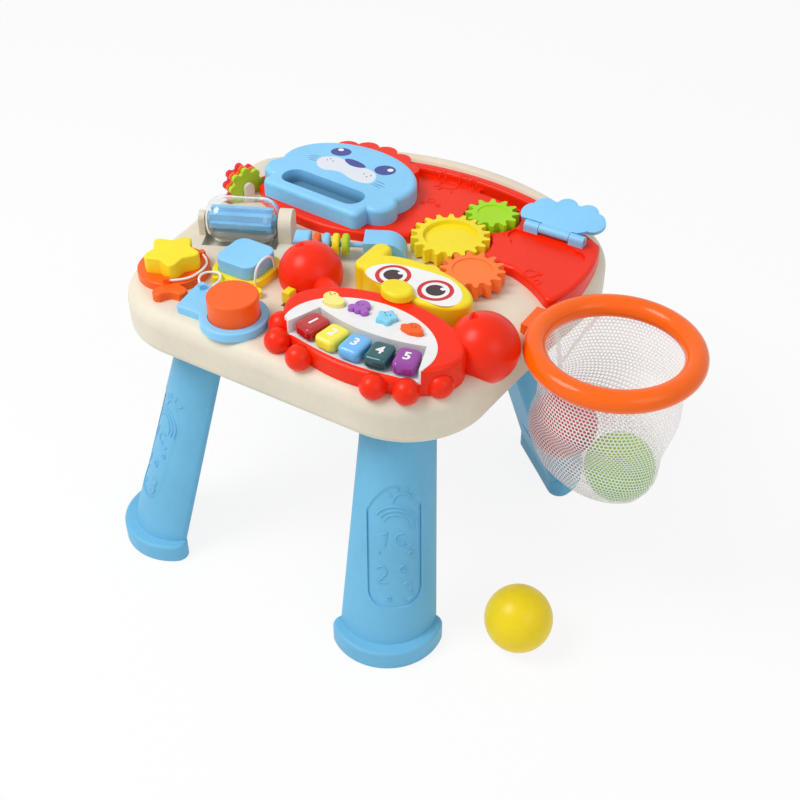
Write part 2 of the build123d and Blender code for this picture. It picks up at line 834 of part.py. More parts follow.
# Crab piano: body with claws, arms and feet, a white panel with a dip for the keys, keys and buttons
crab_place = spot(crab_shares)
crab_top = tray_top + crab_height
panel_top = crab_top - panel_sink + panel_thickness
ledge_z = tray_top + key_ledge
bed_z = ledge_z + key_bed
dip_margin = key_margin + key_bed
dip_back = key_back_margin + key_bed
key_count = len(key_names)
key_centre = (crab_place[0], crab_place[1] - key_row_drop + key_row_radius)
key_turns = [(i - (key_count - 1) / 2) * key_step for i in range(key_count)]
key_places = [moved(key_centre, turn - 90, key_row_radius) for turn in key_turns]
cap_z = bed_z + key_travel + key_rest_gap
pad_top = tray_top + board_thickness + pad_thickness
flange_z = ledge_z - key_floor - slide_gap - key_flange_height
button_roof = crab_top - panel_sink - button_wall
button_places = [(crab_place[0] + s[0] * crab_length / 2, crab_place[1] + s[1] * crab_depth / 2)
                 for s in button_shares]


def crab_spot(shares):
    """Place in plan, from shares of the crab's half length and half depth."""
    return (crab_place[0] + shares[0] * crab_length / 2, crab_place[1] + shares[1] * crab_depth / 2)


def key_band(height, grow, back, reach=0):
    """Plan of the curved strip that the keys fill, grown at its ends, back and front."""
    half_turn = radians(key_count * key_step / 2) + grow / key_row_radius
    far = 2 * key_row_radius
    with BuildSketch(level(key_centre, height)) as band:
        Circle(key_row_radius + key_depth / 2 + grow + reach)
        Circle(key_row_radius - key_depth / 2 - back, mode=Mode.SUBTRACT)
        Polygon((0, 0), (-far * sin(half_turn), -far * cos(half_turn)),
                (far * sin(half_turn), -far * cos(half_turn)), align=None, mode=Mode.INTERSECT)
    return band.sketch


def panel_outline(height, inset=0):
    """Plan of the white panel: an ellipse that ends at the front of the keys."""
    with BuildSketch(level(crab_place, height)) as outline:
        with Locations((-panel_shift, -panel_drop)):
            Ellipse(panel_length / 2 - inset, panel_span / 2 - inset)
        with Locations((0, key_row_radius - key_row_drop)):
            Circle(key_row_radius + key_depth / 2 + key_margin - inset, mode=Mode.INTERSECT)
    return outline.sketch


def blob_outline(plane, grow):
    """Small bird-like blob, grown evenly."""
    with BuildSketch(plane) as outline:
        Ellipse(button_length / 2 + grow, button_depth / 2 + grow)
        with Locations((-button_length / 4, button_depth / 4)):
            Circle(button_depth / 2 + grow)
    return outline.sketch


def octopus_outline(plane, grow):
    """Round head over a row of short arms, grown evenly."""
    with BuildSketch(plane) as outline:
        with Locations((0, button_arm_radius)):
            Circle(button_depth / 2 + grow)
        with Locations((0, -button_arm_radius)):
            with GridLocations(button_arm_radius * 2, 0, 3, 1):
                Circle(button_arm_radius + slide_gap + grow)
    return outline.sketch


def star_outline(plane, outer, inner, point_round, notch_round, grow=0):
    """Five-pointed star with rounded points, its first point along the plane's X."""
    corners = []
    for i in range(10):
        reach = inner if i % 2 else outer
        corners.append((reach * cos(radians(36 * i)), reach * sin(radians(36 * i))))
    with BuildSketch(plane) as outline:
        Polygon(*corners, align=None)
        points = [v for v in outline.vertices() if hypot(v.X, v.Y) > (outer + inner) / 2]
        fillet(points, point_round)
        notches = [v for v in outline.vertices() if hypot(v.X, v.Y) < inner + slide_gap]
        fillet(notches, notch_round)
        if grow:
            offset(amount=grow)
    return outline.sketch


def clam_outline(plane, grow):
    """Wide clam: two flat lobes under a round back, grown evenly."""
    with BuildSketch(plane) as outline:
        Ellipse(button_length / 2 + slide_gap + grow, button_depth / 3 + grow)
        with Locations((0, button_depth / 8)):
            Ellipse(button_length / 3 + grow, button_depth / 2 + grow)
    return outline.sketch


def button_outline(index, height, grow=0):
    """Plan of one of the four picture buttons, grown evenly."""
    plane = level(button_places[index], height)
    if index == 0:
        return blob_outline(plane, grow)
    if index == 1:
        return octopus_outline(plane, grow)
    if index == 2:
        return star_outline(level(button_places[index], height, 90), button_length / 2 + slide_gap,
                            button_length / 3, button_round * 2, button_round * 2, grow)
    return clam_outline(plane, grow)


def dome_section(place, height, radius):
    """Upright half section of a ball with a tiny flat at each pole."""
    with BuildSketch(Plane(origin=(*place, height), x_dir=(1, 0, 0), z_dir=(0, -1, 0))) as section:
        Circle(radius)
        Rectangle(radius, 2 * dome_share * radius, align=(Align.MIN, Align.CENTER), mode=Mode.INTERSECT)
    return section.sketch


with BuildPart() as crab_body:
    with BuildSketch(level(crab_place, tray_top)):
        Ellipse(crab_length / 2, crab_depth / 2)
    extrude(amount=key_lip)
    fillet(crab_body.faces().sort_by(Axis.Z)[-1].edges(), crab_lip_round)
    with BuildSketch(Plane.XY.offset(tray_top)):
        with Locations(crab_place):
            Ellipse(crab_length / 2, crab_depth / 2)
        add(key_band(tray_top, dip_margin, dip_back, crab_depth), mode=Mode.SUBTRACT)
    extrude(amount=crab_height)
    fillet(crab_body.faces().sort_by(Axis.Z)[-1].edges().filter_by(GeomType.ELLIPSE), crab_round)
    for claw, shares in claw_shares.items():
        claw_place = crab_spot(shares)
        claw_z = tray_top + claw_lift
        claw_radius = claw_radii[claw]
        revolve(dome_section(claw_place, claw_z, claw_radius), Axis((*claw_place, claw_z), (0, 0, 1)))
        root = (crab_place[0] + arm_root_share * (claw_place[0] - crab_place[0]) / 2,
                crab_place[1] + arm_root_share * (claw_place[1] - crab_place[1]) / 2)
        span = hypot(claw_place[0] - root[0], claw_place[1] - root[1])
        bearing = degrees(atan2(claw_place[1] - root[1], claw_place[0] - root[0]))
        with BuildSketch(across(root, tray_top + arm_lift, bearing)):
            Circle(arm_radius)
        extrude(amount=span)
        notch_plane = across(claw_place, claw_z + claw_radius, notch_bearing)
        with BuildSketch(notch_plane):
            with Locations((0, -claw_notch_width / 2)):
                Polygon((0, -claw_notch_width / 2), (-claw_notch_depth, 0), (claw_notch_depth, claw_notch_width / 2),
                        (claw_notch_depth, -claw_notch_width / 2), align=None)
        extrude(amount=claw_radius, mode=Mode.SUBTRACT)
    for shares in knob_shares:
        knob = (*crab_spot(shares), tray_top + knob_lift)
        revolve(dome_section(knob[:2], knob[2], knob_radius), Axis(knob, (0, 0, 1)))
    extrude(key_band(ledge_z, dip_margin, dip_back), amount=key_lip - key_ledge, mode=Mode.SUBTRACT)
    extrude(panel_outline(crab_top - panel_sink), amount=crab_height, mode=Mode.SUBTRACT)
    extrude(key_band(tray_top, -key_margin, dip_back + 5 * wall), amount=key_ledge - key_floor, mode=Mode.SUBTRACT)
    with BuildSketch(Plane.XY.offset(tray_top)):
        add(panel_outline(tray_top, crab_round))
        add(key_band(tray_top, dip_margin + wall, dip_back + wall, crab_depth), mode=Mode.SUBTRACT)
    extrude(amount=button_roof - tray_top, mode=Mode.SUBTRACT)
    for turn, place in zip(key_turns, key_places):
        with BuildSketch(level(place, tray_top, turn)):
            Rectangle(key_stem_width + 2 * slide_gap, key_stem_depth + 2 * slide_gap)
        extrude(amount=crab_height, mode=Mode.SUBTRACT)
    for i in range(len(button_names)):
        extrude(button_outline(i, button_roof, slide_gap), amount=crab_height, mode=Mode.SUBTRACT)
        extrude(button_outline(i, tray_top, button_flange + 2 * slide_gap), amount=button_roof - tray_top,
                mode=Mode.SUBTRACT)
    add(tray_blank.part, mode=Mode.SUBTRACT)
keep(crab_body.part, "crab_body")

with BuildPart() as crab_panel:
    extrude(panel_outline(crab_top - panel_sink), amount=panel_thickness)
    extrude(key_band(ledge_z, dip_margin, dip_back), amount=panel_top - ledge_z)
    extrude(key_band(bed_z, key_margin, key_back_margin, crab_depth), amount=crab_height, mode=Mode.SUBTRACT)
    for turn, place in zip(key_turns, key_places):
        with BuildSketch(level(place, tray_top, turn)):
            Rectangle(key_stem_width + 2 * slide_gap, key_stem_depth + 2 * slide_gap)
        extrude(amount=crab_height, mode=Mode.SUBTRACT)
    for i in range(len(button_names)):
        extrude(button_outline(i, button_roof, slide_gap), amount=crab_height, mode=Mode.SUBTRACT)
keep(crab_panel.part, "crab_panel")

for name, turn, place in zip(key_names, key_turns, key_places):
    with BuildPart() as key:
        with BuildSketch(level(place, cap_z, turn)):
            RectangleRounded(key_width, key_depth, key_corner_round)
        extrude(amount=key_height)
        fillet(key.faces().sort_by(Axis.Z)[-1].edges(), key_round)
        with BuildSketch(level(place, flange_z, turn)):
            Rectangle(key_stem_width, key_stem_depth)
        extrude(amount=cap_z - flange_z)
        with BuildSketch(level(place, flange_z, turn)):
            Rectangle(key_stem_width + 2 * key_flange, key_stem_depth + 2 * key_flange)
        extrude(amount=key_flange_height)
    keep(key.part, name)

button_flange_z = button_roof - slide_gap - button_flange_height
button_foot_z = pad_top + button_travel + key_rest_gap
for i, name in enumerate(button_names):
    with BuildPart() as button:
        extrude(button_outline(i, button_flange_z), amount=panel_top + button_rise - button_flange_z)
        fillet(button.faces().sort_by(Axis.Z)[-1].edges(), button_round)
        extrude(button_outline(i, button_flange_z, button_flange), amount=button_flange_height)
        with BuildSketch(level(button_places[i], button_foot_z)):
            Circle(button_stem_radius)
        extrude(amount=button_flange_z - button_foot_z)
    keep(button.part, name)


def works_outline(height, inset):
    """Plan of the space under the panel and the keys, drawn in by inset."""
    with BuildSketch(Plane.XY.offset(height)) as outline:
        add(panel_outline(height, crab_round + inset))
        add(key_band(height, dip_margin + wall + inset, dip_back + wall + inset, crab_depth), mode=Mode.SUBTRACT)
    return outline.sketch


with BuildPart() as circuit_board:
    extrude(works_outline(tray_top, board_margin), amount=board_thickness)
    extrude(key_band(tray_top, -key_margin - board_margin, dip_back + 4 * wall), amount=board_thickness)
keep(circuit_board.part, "circuit_board")

with BuildPart() as contact_pad:
    extrude(works_outline(tray_top + board_thickness, pad_margin), amount=pad_thickness)
    extrude(key_band(tray_top + board_thickness, -key_margin - pad_margin, dip_back + 4 * wall),
            amount=pad_thickness)
keep(contact_pad.part, "contact_pad")

# Fish with the big eyes
fish_place = spot(fish_shares)


def fish_spot(shares):
    """Place in plan, from shares of the fish's half length and half depth."""
    return moved(fish_place, fish_turn, shares[0] * fish_length / 2, shares[1] * fish_depth / 2)


beak_place = moved(fish_place, fish_turn, 0, -beak_drop)
with BuildPart() as fish_body:
    with BuildSketch(Plane.XY.offset(tray_top)):
        with Locations(fish_spot(fin_foot_shares), fish_spot(fin_tip_shares)):
            Circle(fin_radius)
        make_hull()
        with Locations(level(fish_place, 0, fish_turn)):
            Ellipse(fish_length / 2, fish_depth / 2)
    extrude(amount=fish_height)
    fillet(fish_body.faces().sort_by(Axis.Z)[-1].edges(), fish_round)
    with BuildSketch(level(fish_spot(bump_shares), tray_top)):
        Circle(bump_radius)
    extrude(amount=bump_rise)
    with BuildSketch(level(crab_place, tray_top)):
        Ellipse(crab_length / 2 + fish_gap, crab_depth / 2 + fish_gap)
    extrude(amount=tray_height, mode=Mode.SUBTRACT)
    with BuildSketch(level(beak_place, crab_top + fish_gap, fish_turn)):
        Ellipse(beak_length / 2, beak_depth / 2)
    extrude(amount=beak_thickness)
    fillet(fish_body.faces().sort_by(Axis.Z)[-1].edges(), beak_round)
keep(fish_body.part, "fish_body")

# Bead rod
bead_place = spot(bead_shares)
rod_z = tray_top + bead_height
row_half = (left_post_length + rod_span + right_post_length) / 2
left_face = left_post_length - row_half
right_face = left_face + rod_span
with BuildPart() as bead_posts:
    with BuildSketch(across(bead_place, tray_top, bead_turn, -row_half)):
        Rectangle(post_height, left_post_width, align=(Align.MIN, Align.CENTER))
    extrude(amount=left_post_length)
    fillet(bead_posts.edges().filter_by(GeomType.LINE).group_by(Axis.Z)[-1], post_round)
    right_plane = Plane(origin=(*moved(bead_place, bead_turn, right_face, -right_post_width / 2), tray_top),
                        x_dir=(cos(radians(bead_turn)), sin(radians(bead_turn)), 0),
                        z_dir=(-sin(radians(bead_turn)), cos(radians(bead_turn)), 0))
    with BuildSketch(right_plane) as right_profile:
        Rectangle(right_post_length, post_height, align=(Align.MIN, Align.MAX))
        fillet(right_profile.vertices().group_by(Axis.Y)[0].sort_by(Axis.X)[-1], post_sweep)
    extrude(amount=right_post_width)
    with BuildSketch(across(bead_place, rod_z, bead_turn, left_face - rod_sink)):
        Circle(rod_radius + seat_gap)
    extrude(amount=rod_span + 2 * rod_sink, mode=Mode.SUBTRACT)
keep(bead_posts.part, "bead_posts")

with BuildPart() as bead_rod:
    with BuildSketch(across(bead_place, rod_z, bead_turn, left_face - rod_sink)):
        Circle(rod_radius)
    extrude(amount=rod_span + 2 * rod_sink)
keep(bead_rod.part, "bead_rod")

for i, name in enumerate(bead_names):
    bead_along = left_face + bead_first + i * bead_pitch - bead_thickness / 2
    with BuildPart() as bead:
        with BuildSketch(across(bead_place, rod_z, bead_turn, bead_along)):
            Circle(bead_radius)
        extrude(amount=bead_thickness)
        fillet(bead.edges(), bead_round)
        with BuildSketch(across(bead_place, rod_z, bead_turn, bead_along)):
            Circle(rod_radius + spin_gap)
        extrude(amount=bead_thickness, mode=Mode.SUBTRACT)
    keep(bead.part, name)

# Clear drum with a stepped paddle inside, turning on stub pins between two posts
drum_axis = (cos(radians(drum_turn)), sin(radians(drum_turn)), 0)
drum_plane = Plane(origin=(*drum_place, drum_z), x_dir=drum_axis, z_dir=(drum_axis[1], -drum_axis[0], 0))
with BuildPart() as drum_shell:
    with BuildSketch(drum_plane) as half:
        RectangleRounded(drum_length, 2 * drum_radius, drum_round)
        RectangleRounded(drum_length - 2 * drum_wall, 2 * drum_radius - 2 * drum_wall, drum_round - drum_wall,
                         mode=Mode.SUBTRACT)
        Rectangle(drum_length, 2 * (drum_pin_radius + spin_gap), mode=Mode.SUBTRACT)
        Rectangle(drum_length, drum_radius, align=(Align.CENTER, Align.MIN), mode=Mode.INTERSECT)
    revolve(half.sketch, Axis((*drum_place, drum_z), drum_axis))
keep(drum_shell.part, "drum_shell")

hub_half = drum_length / 2 - drum_wall
vane_half = hub_half - paddle_inset
with BuildPart() as drum_paddle:
    with BuildSketch(across(drum_place, drum_z, drum_turn, -vane_half)):
        Rectangle(paddle_thickness, paddle_width)
        Rectangle(paddle_width, paddle_thickness)
        with Locations((paddle_step / 2, paddle_step / 2), (-paddle_step / 2, -paddle_step / 2)):
            Rectangle(paddle_step, paddle_step)
    extrude(amount=2 * vane_half)
    with BuildSketch(across(drum_place, drum_z, drum_turn, -hub_half)):
        Circle(drum_hub_radius)
    extrude(amount=2 * hub_half)
    with BuildSketch(across(drum_place, drum_z, drum_turn, -hub_half)):
        Circle(drum_pin_radius + spin_gap)
    extrude(amount=2 * hub_half, mode=Mode.SUBTRACT)
keep(drum_paddle.part, "drum_paddle")

post_start = drum_length / 2 + drum_gap
with BuildPart() as drum_posts:
    for side, end in leg_sides.items():
        post_radius = drum_post_radii[side]
        with BuildSketch(across(drum_place, drum_z, drum_turn, end * post_start)):
            Circle(post_radius)
            Rectangle(2 * drum_height, 2 * post_radius, align=(Align.MAX, Align.CENTER))
        extrude(amount=end * drum_post_widths[side])
        with BuildSketch(across(drum_place, drum_z, drum_turn, end * (post_start - drum_gap - drum_pin_length))):
            Circle(drum_pin_radius)
        extrude(amount=end * (drum_gap + drum_pin_length))
    with BuildSketch(level(drum_place, 0)):
        Rectangle(4 * drum_length, 4 * drum_length)
    extrude(amount=tray_top, mode=Mode.SUBTRACT)
keep(drum_posts.part, "drum_posts")

# Wavy discs on a pin between two ears
for i, name in enumerate(disc_names):
    disc_along = (i - 1) * disc_pitch - disc_thickness / 2
    with BuildPart() as disc:
        with BuildSketch(across(disc_place, disc_z, disc_turn, disc_along)):
            Circle(disc_radius)
            with PolarLocations(disc_radius, disc_waves):
                Circle(disc_wave_radius)
        extrude(amount=disc_thickness)
        with BuildSketch(across(disc_place, disc_z, disc_turn, disc_along)):
            Circle(disc_pin_radius + spin_gap)
        extrude(amount=disc_thickness, mode=Mode.SUBTRACT)
    keep(disc.part, name)

with BuildPart() as disc_stand:
    for end in leg_sides.values():
        with BuildSketch(across(disc_place, disc_z, disc_turn, end * disc_stack / 2)):
            Circle(disc_ear_width / 2)
            Rectangle(2 * disc_height, disc_ear_width, align=(Align.MAX, Align.CENTER))
        extrude(amount=end * disc_ear_thickness)
    with BuildSketch(across(disc_place, disc_z, disc_turn, -disc_stack / 2)):
        Circle(disc_pin_radius)
    extrude(amount=disc_stack)
    add(tray_blank.part, mode=Mode.SUBTRACT)
keep(disc_stand.part, "disc_stand")

# Shape blocks in frames
star_place = spot(star_shares)
square_place = spot(square_shares)
circle_place = spot(circle_shares)
block_z = tray_top + frame_floor


def tie_plan(place, name):
    """Plan of the two small posts that hold a cord's ends, each just past the end of its route."""
    route = tether_routes[name]
    with BuildSketch(Plane.XY.offset(tray_top)) as posts:
        for near, far in ((route[0], route[1]), (route[-1], route[-2])):
            bearing = degrees(atan2(near[1] - far[1], near[0] - far[0]))
            post = moved((place[0] + near[0], place[1] + near[1]), bearing, tie_size / 2)
            with Locations(level(post, 0, bearing)):
                Rectangle(tie_size, tie_size)
    return posts.sketch


def star_plan(height, grow):
    """Plan of the star block, grown evenly."""
    return star_outline(level(star_place, height, star_turn), star_radius, star_inner_radius,
                        star_point_round, star_notch_round, grow)


with BuildSketch(level(star_place, tray_top, star_tail_turn)) as star_tail:
    with Locations((star_tail_reach, star_tail_spread), (star_tail_reach, -star_tail_spread),
                   (star_frame_radius, 0)):
        Circle(star_tail_radius)
    make_hull()
    with Locations((star_tail_reach + 2 * star_tail_radius, 0)):
        Circle(star_tail_radius + star_notch_round, mode=Mode.SUBTRACT)

with BuildPart() as star_frame:
    with BuildSketch(level(star_place, tray_top)):
        Circle(star_frame_radius)
    extrude(amount=frame_height)
    extrude(star_tail.sketch, amount=frame_height)
    fillet(star_frame.faces().sort_by(Axis.Z)[-1].edges(), frame_round)
    extrude(tie_plan(star_place, "tether_star"), amount=frame_height + tie_rise)
    extrude(star_plan(block_z, block_gap), amount=frame_height + tie_rise, mode=Mode.SUBTRACT)
keep(star_frame.part, "star_frame")

with BuildPart() as star_block:
    extrude(star_plan(block_z, 0), amount=star_block_height)
    fillet(star_block.faces().sort_by(Axis.Z)[-1].edges(), block_round)
keep(star_block.part, "star_block")

square_outer = square_width + 2 * block_gap + 2 * frame_wall
with BuildPart() as square_frame:
    with BuildSketch(level(square_place, tray_top)):
        RectangleRounded(square_outer, square_outer, square_round + frame_wall)
    extrude(amount=frame_height)
    fillet(square_frame.faces().sort_by(Axis.Z)[-1].edges(), frame_round)
    with BuildSketch(level(square_place, tray_top)):
        with Locations((0, -square_outer / 2)):
            with GridLocations(square_scallop_pitch, 0, square_scallops, 1):
                Circle(square_scallop_radius)
        with Locations((square_leg_share * square_width / 2, -square_outer / 2)):
            Circle(square_leg_radius)
        with Locations((square_width / 2, -square_outer / 2 + square_leg_radius)):
            Rectangle(square_leg_radius * 2, square_leg_radius * 2)
    extrude(amount=frame_height - frame_round)
    with BuildSketch(level(square_place, block_z)):
        RectangleRounded(square_width + 2 * block_gap, square_width + 2 * block_gap, square_round + block_gap)
    extrude(amount=frame_height, mode=Mode.SUBTRACT)
keep(square_frame.part, "square_frame")

with BuildPart() as square_block:
    with BuildSketch(level(square_place, block_z)):
        RectangleRounded(square_width, square_width, square_round)
    extrude(amount=square_block_height)
    fillet(square_block.faces().sort_by(Axis.Z)[-1].edges(), block_round)
keep(square_block.part, "square_block")

with BuildPart() as circle_frame:
    with BuildSketch(level(circle_place, tray_top)) as fin_plan:
        Polygon(*[(s[0] * circle_tail_unit, s[1] * circle_tail_unit) for s in circle_tail_shares], align=None)
        fillet(fin_plan.vertices(), circle_tail_round)
        Circle(circle_radius + block_gap + frame_wall + circle_rim)
    extrude(amount=frame_height)
    fillet(circle_frame.faces().sort_by(Axis.Z)[-1].edges(), frame_round)
    extrude(tie_plan(circle_place, "tether_circle"), amount=frame_height + tie_rise)
    with BuildSketch(level(circle_place, block_z)):
        Circle(circle_radius + block_gap)
    extrude(amount=frame_height + tie_rise, mode=Mode.SUBTRACT)
keep(circle_frame.part, "circle_frame")

with BuildPart() as circle_block:
    with BuildSketch(level(circle_place, block_z)):
        Circle(circle_radius)
    extrude(amount=circle_block_height)
    fillet(circle_block.faces().sort_by(Axis.Z)[-1].edges(), block_round)
keep(circle_block.part, "circle_block")

# Cords of the blocks
for name, route in tether_routes.items():
    place = spot(tether_blocks[name])
    points = [Vector(place[0] + p[0], place[1] + p[1], tray_top + p[2]) for p in route]
    bends = []
    for before, corner, after in zip(points, points[1:], points[2:]):
        turn = (corner - before).get_angle(after - corner)
        shorter = min((corner - before).length, (after - corner).length)
        bends.append(tether_bend_share * shorter / (sin(radians(turn / 2)) / cos(radians(turn / 2))))
    with BuildPart() as tether:
        with BuildLine():
            run = FilletPolyline(*points, radius=bends)
        with BuildSketch(Plane(origin=run @ 0, z_dir=run % 0)):
            Circle(tether_radius)
        sweep(path=run)
    print(name, "length", round(run.length, 1), "bends", [round(b, 1) for b in bends],
          "volume share", round(tether.part.volume / (pi * tether_radius ** 2 * run.length), 3))
    keep(tether.part, name)

# Shell flap on its hinge
hinge_place = (flap_place[0], flap_place[1], deck_top + hinge_rise)
lean = radians(flap_angle)
flap_plane = Plane(origin=hinge_place, x_dir=(1, 0, 0), z_dir=(0, -sin(lean), cos(lean)))
hinge_side = middle_knuckle_length / 2 + knuckle_gap
with BuildPart() as flap:
    extrude(shell_outline(flap_plane, flap_tilt), amount=flap_thickness / 2, both=True)
    with BuildSketch(flap_plane):
        Rectangle(middle_knuckle_length, flap_centre, align=(Align.CENTER, Align.MIN))
    extrude(amount=flap_thickness / 2, both=True)
    with BuildSketch(across(flap_place, hinge_place[2], 0, -middle_knuckle_length / 2)):
        Circle(knuckle_radius)
    extrude(amount=middle_knuckle_length)
    with BuildSketch(across(flap_place, hinge_place[2], 0, -middle_knuckle_length / 2)):
        Circle(hinge_pin_radius + spin_gap)
    extrude(amount=middle_knuckle_length, mode=Mode.SUBTRACT)
keep(flap.part, "flap")

with BuildPart() as flap_hinge:
    for end in leg_sides.values():
        with BuildSketch(across(flap_place, hinge_place[2], 0, end * hinge_side)):
            Circle(knuckle_radius)
            Rectangle(hinge_rise, 2 * knuckle_radius, align=(Align.MAX, Align.CENTER))
            Circle(hinge_pin_radius + seat_gap, mode=Mode.SUBTRACT)
        extrude(amount=end * knuckle_length)
keep(flap_hinge.part, "flap_hinge")

with BuildPart() as flap_pin:
    with BuildSketch(across(flap_place, hinge_place[2], 0, -hinge_side - knuckle_length)):
        Circle(hinge_pin_radius)
    extrude(amount=2 * (hinge_side + knuckle_length))
keep(flap_pin.part, "flap_pin")

# Slide switch
with BuildPart() as slide_switch:
    with BuildSketch(level(switch_place, tray_top + slide_gap)):
        Rectangle(switch_width, switch_length)
    extrude(amount=switch_height)
    fillet(slide_switch.faces().sort_by(Axis.Z)[-1].edges(), switch_round)
    with BuildSketch(level(switch_place, tray_top + slide_gap)):
        Rectangle(switch_stem, switch_stem)
    extrude(amount=-wall - 2 * slide_gap - switch_flange)
    with BuildSketch(level(switch_place, tray_top - wall - slide_gap)):
        Rectangle(switch_width, switch_length)
    extrude(amount=-switch_flange)
keep(slide_switch.part, "slide_switch")

# Hoop with its bracket, net and balls
hoop_place = (hoop_x, hoop_y_share * tray_depth / 2)
hoop_z = tray_top + hoop_rise
with BuildPart() as hoop_ring:
    with BuildSketch(level((0, bracket_y), tray_top - bracket_drop)):
        Rectangle(hoop_place[0] - hoop_radius, bracket_width, align=(Align.MIN, Align.CENTER))
    extrude(amount=bracket_drop + hoop_rise)
    add(tray_blank.part, mode=Mode.SUBTRACT)
    with BuildSketch(level((0, bracket_y), tray_top - bracket_drop)):
        Rectangle(bracket_x, tray_depth, align=(Align.MIN, Align.CENTER))
    extrude(amount=tray_height, mode=Mode.SUBTRACT)
    with Locations((*hoop_place, hoop_z)):
        Torus(hoop_radius, hoop_tube_radius)
    with BuildSketch(Plane(origin=(bracket_x - tongue_length, bracket_y, parting + tongue_lift),
                           x_dir=(0, 1, 0), z_dir=(1, 0, 0))):
        with Locations((0, tongue_height / 2)):
            Rectangle(tongue_width, tongue_height)
    extrude(amount=hoop_place[0] - hoop_radius - bracket_x + tongue_length)
keep(hoop_ring.part, "hoop_ring")

net_lean = (hoop_place[0] + net_lean_shares[0] * hoop_radius, hoop_place[1] + net_lean_shares[1] * hoop_radius)
net_rings = (
    (hoop_place, 0, net_top_radius), (hoop_place, net_neck_drop, net_neck_radius),
    (net_lean, net_belly_drop, net_belly_radius), (net_lean, net_base_drop, net_base_radius),
    (net_lean, net_toe_drop, net_toe_radius),
)


def net_ring(place, drop, radius):
    """Level round section of the net."""
    with BuildSketch(level(place, hoop_z - drop)) as ring:
        Circle(radius)
    return ring.sketch.face()


with BuildPart() as net_core:
    loft([net_ring(place, drop - net_thickness, radius - net_thickness) for place, drop, radius in net_rings],
         ruled=True)

with BuildPart() as hoop_net:
    loft([net_ring(place, drop, radius) for place, drop, radius in net_rings], ruled=True)
    add(net_core.part, mode=Mode.SUBTRACT)
    add(hoop_ring.part, mode=Mode.SUBTRACT)
    with BuildSketch(level(hoop_place, hoop_z - hoop_tube_radius / 2)):
        Circle(hoop_radius)
    extrude(amount=hoop_tube_radius, mode=Mode.SUBTRACT)
keep(hoop_net.part, "hoop_net")

ball_places = {
    "ball_red": (hoop_place[0] + red_ball_shares[0] * hoop_radius,
                 hoop_place[1] + red_ball_shares[1] * hoop_radius, hoop_z - red_ball_drop),
    "ball_green": (hoop_place[0] + green_ball_shares[0] * hoop_radius,
                   hoop_place[1] + green_ball_shares[1] * hoop_radius, hoop_z - green_ball_drop),
    "ball_yellow": (*spot(yellow_ball_shares), ball_radius),
}
for name, place in ball_places.items():
    with BuildPart() as ball:
        with Locations(place):
            Sphere(ball_radius)
    keep(ball.part, name)

# The pieces are moved together so that the middle of their footprint is the origin, then written out
boxes = [piece.bounding_box() for piece in pieces]
low = Vector(min(b.min.X for b in boxes), min(b.min.Y for b in boxes), min(b.min.Z for b in boxes))
high = Vector(max(b.max.X for b in boxes), max(b.max.Y for b in boxes), max(b.max.Z for b in boxes))
shift = Vector(-(low.X + high.X) / 2, -(low.Y + high.Y) / 2, -low.Z)
print("shift", shift, "size", high - low)
for piece in pieces:
    placed = piece.moved(Location(shift))
    placed.label = piece.label
    export_step(placed, f"parts/{piece.label}.step")
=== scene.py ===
# %% [markdown]
# # A toddler's activity table
# The rigid pieces of this table come ready shaped as solids. This lesson dresses them: it sets the camera
# and the light, gives every moulded piece its plastic, ties the cords, hangs the net in its hoop, and adds
# the printed faces, the numbers on the keys and the raised pictures on the legs. Lengths are in metres.

# %% Load the solids
import json
from math import atan2, ceil, cos, hypot, pi, radians, sin

import bmesh
import bpy
from mathutils import Matrix, Vector
from mathutils.bvhtree import BVHTree


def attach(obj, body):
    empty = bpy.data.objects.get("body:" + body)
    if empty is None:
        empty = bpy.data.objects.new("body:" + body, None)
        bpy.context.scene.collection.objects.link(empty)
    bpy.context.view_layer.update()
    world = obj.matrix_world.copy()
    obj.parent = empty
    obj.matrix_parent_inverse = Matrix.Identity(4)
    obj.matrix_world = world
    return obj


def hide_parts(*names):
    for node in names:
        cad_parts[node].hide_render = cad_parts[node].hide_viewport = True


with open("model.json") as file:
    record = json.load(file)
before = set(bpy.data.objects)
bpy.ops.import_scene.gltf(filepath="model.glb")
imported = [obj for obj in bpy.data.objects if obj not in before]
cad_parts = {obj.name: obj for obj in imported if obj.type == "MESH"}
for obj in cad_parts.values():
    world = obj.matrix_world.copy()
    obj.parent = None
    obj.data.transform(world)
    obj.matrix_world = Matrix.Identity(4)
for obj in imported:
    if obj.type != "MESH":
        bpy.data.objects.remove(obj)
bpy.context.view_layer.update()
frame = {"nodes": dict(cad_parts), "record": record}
nodes = frame["nodes"]
scene = bpy.context.scene
scene.view_settings.view_transform = "Standard"

# %% [markdown]
# ## Camera
# The table was seen from in front and above, a little to its right. A longish lens from about 1.2 m keeps
# the legs nearly parallel, as the picture has them.

# %% Camera
MM = 0.001
SENSOR_WIDTH = 36
FOCAL_LENGTH = 55.91
CAMERA_PLACE = (0.465403, -0.783630, 0.86146)
LOOKS_DOWN = 39.01
LOOKS_LEFT = 31.92
lens = bpy.data.cameras.new("camera")
lens.sensor_width = SENSOR_WIDTH
lens.lens = FOCAL_LENGTH
camera = bpy.data.objects.new("camera", lens)
camera.location = CAMERA_PLACE
camera.rotation_euler = (radians(90 - LOOKS_DOWN), 0, radians(LOOKS_LEFT))
scene.collection.objects.link(camera)
scene.camera = camera
print("camera", [round(c, 3) for c in camera.location])

# %% [markdown]
# ## Shader arithmetic
# Procedural finishes are sums and products of textures. Wrapping a socket in a small class lets those be
# written as ordinary expressions, and one method makes every other kind of node.


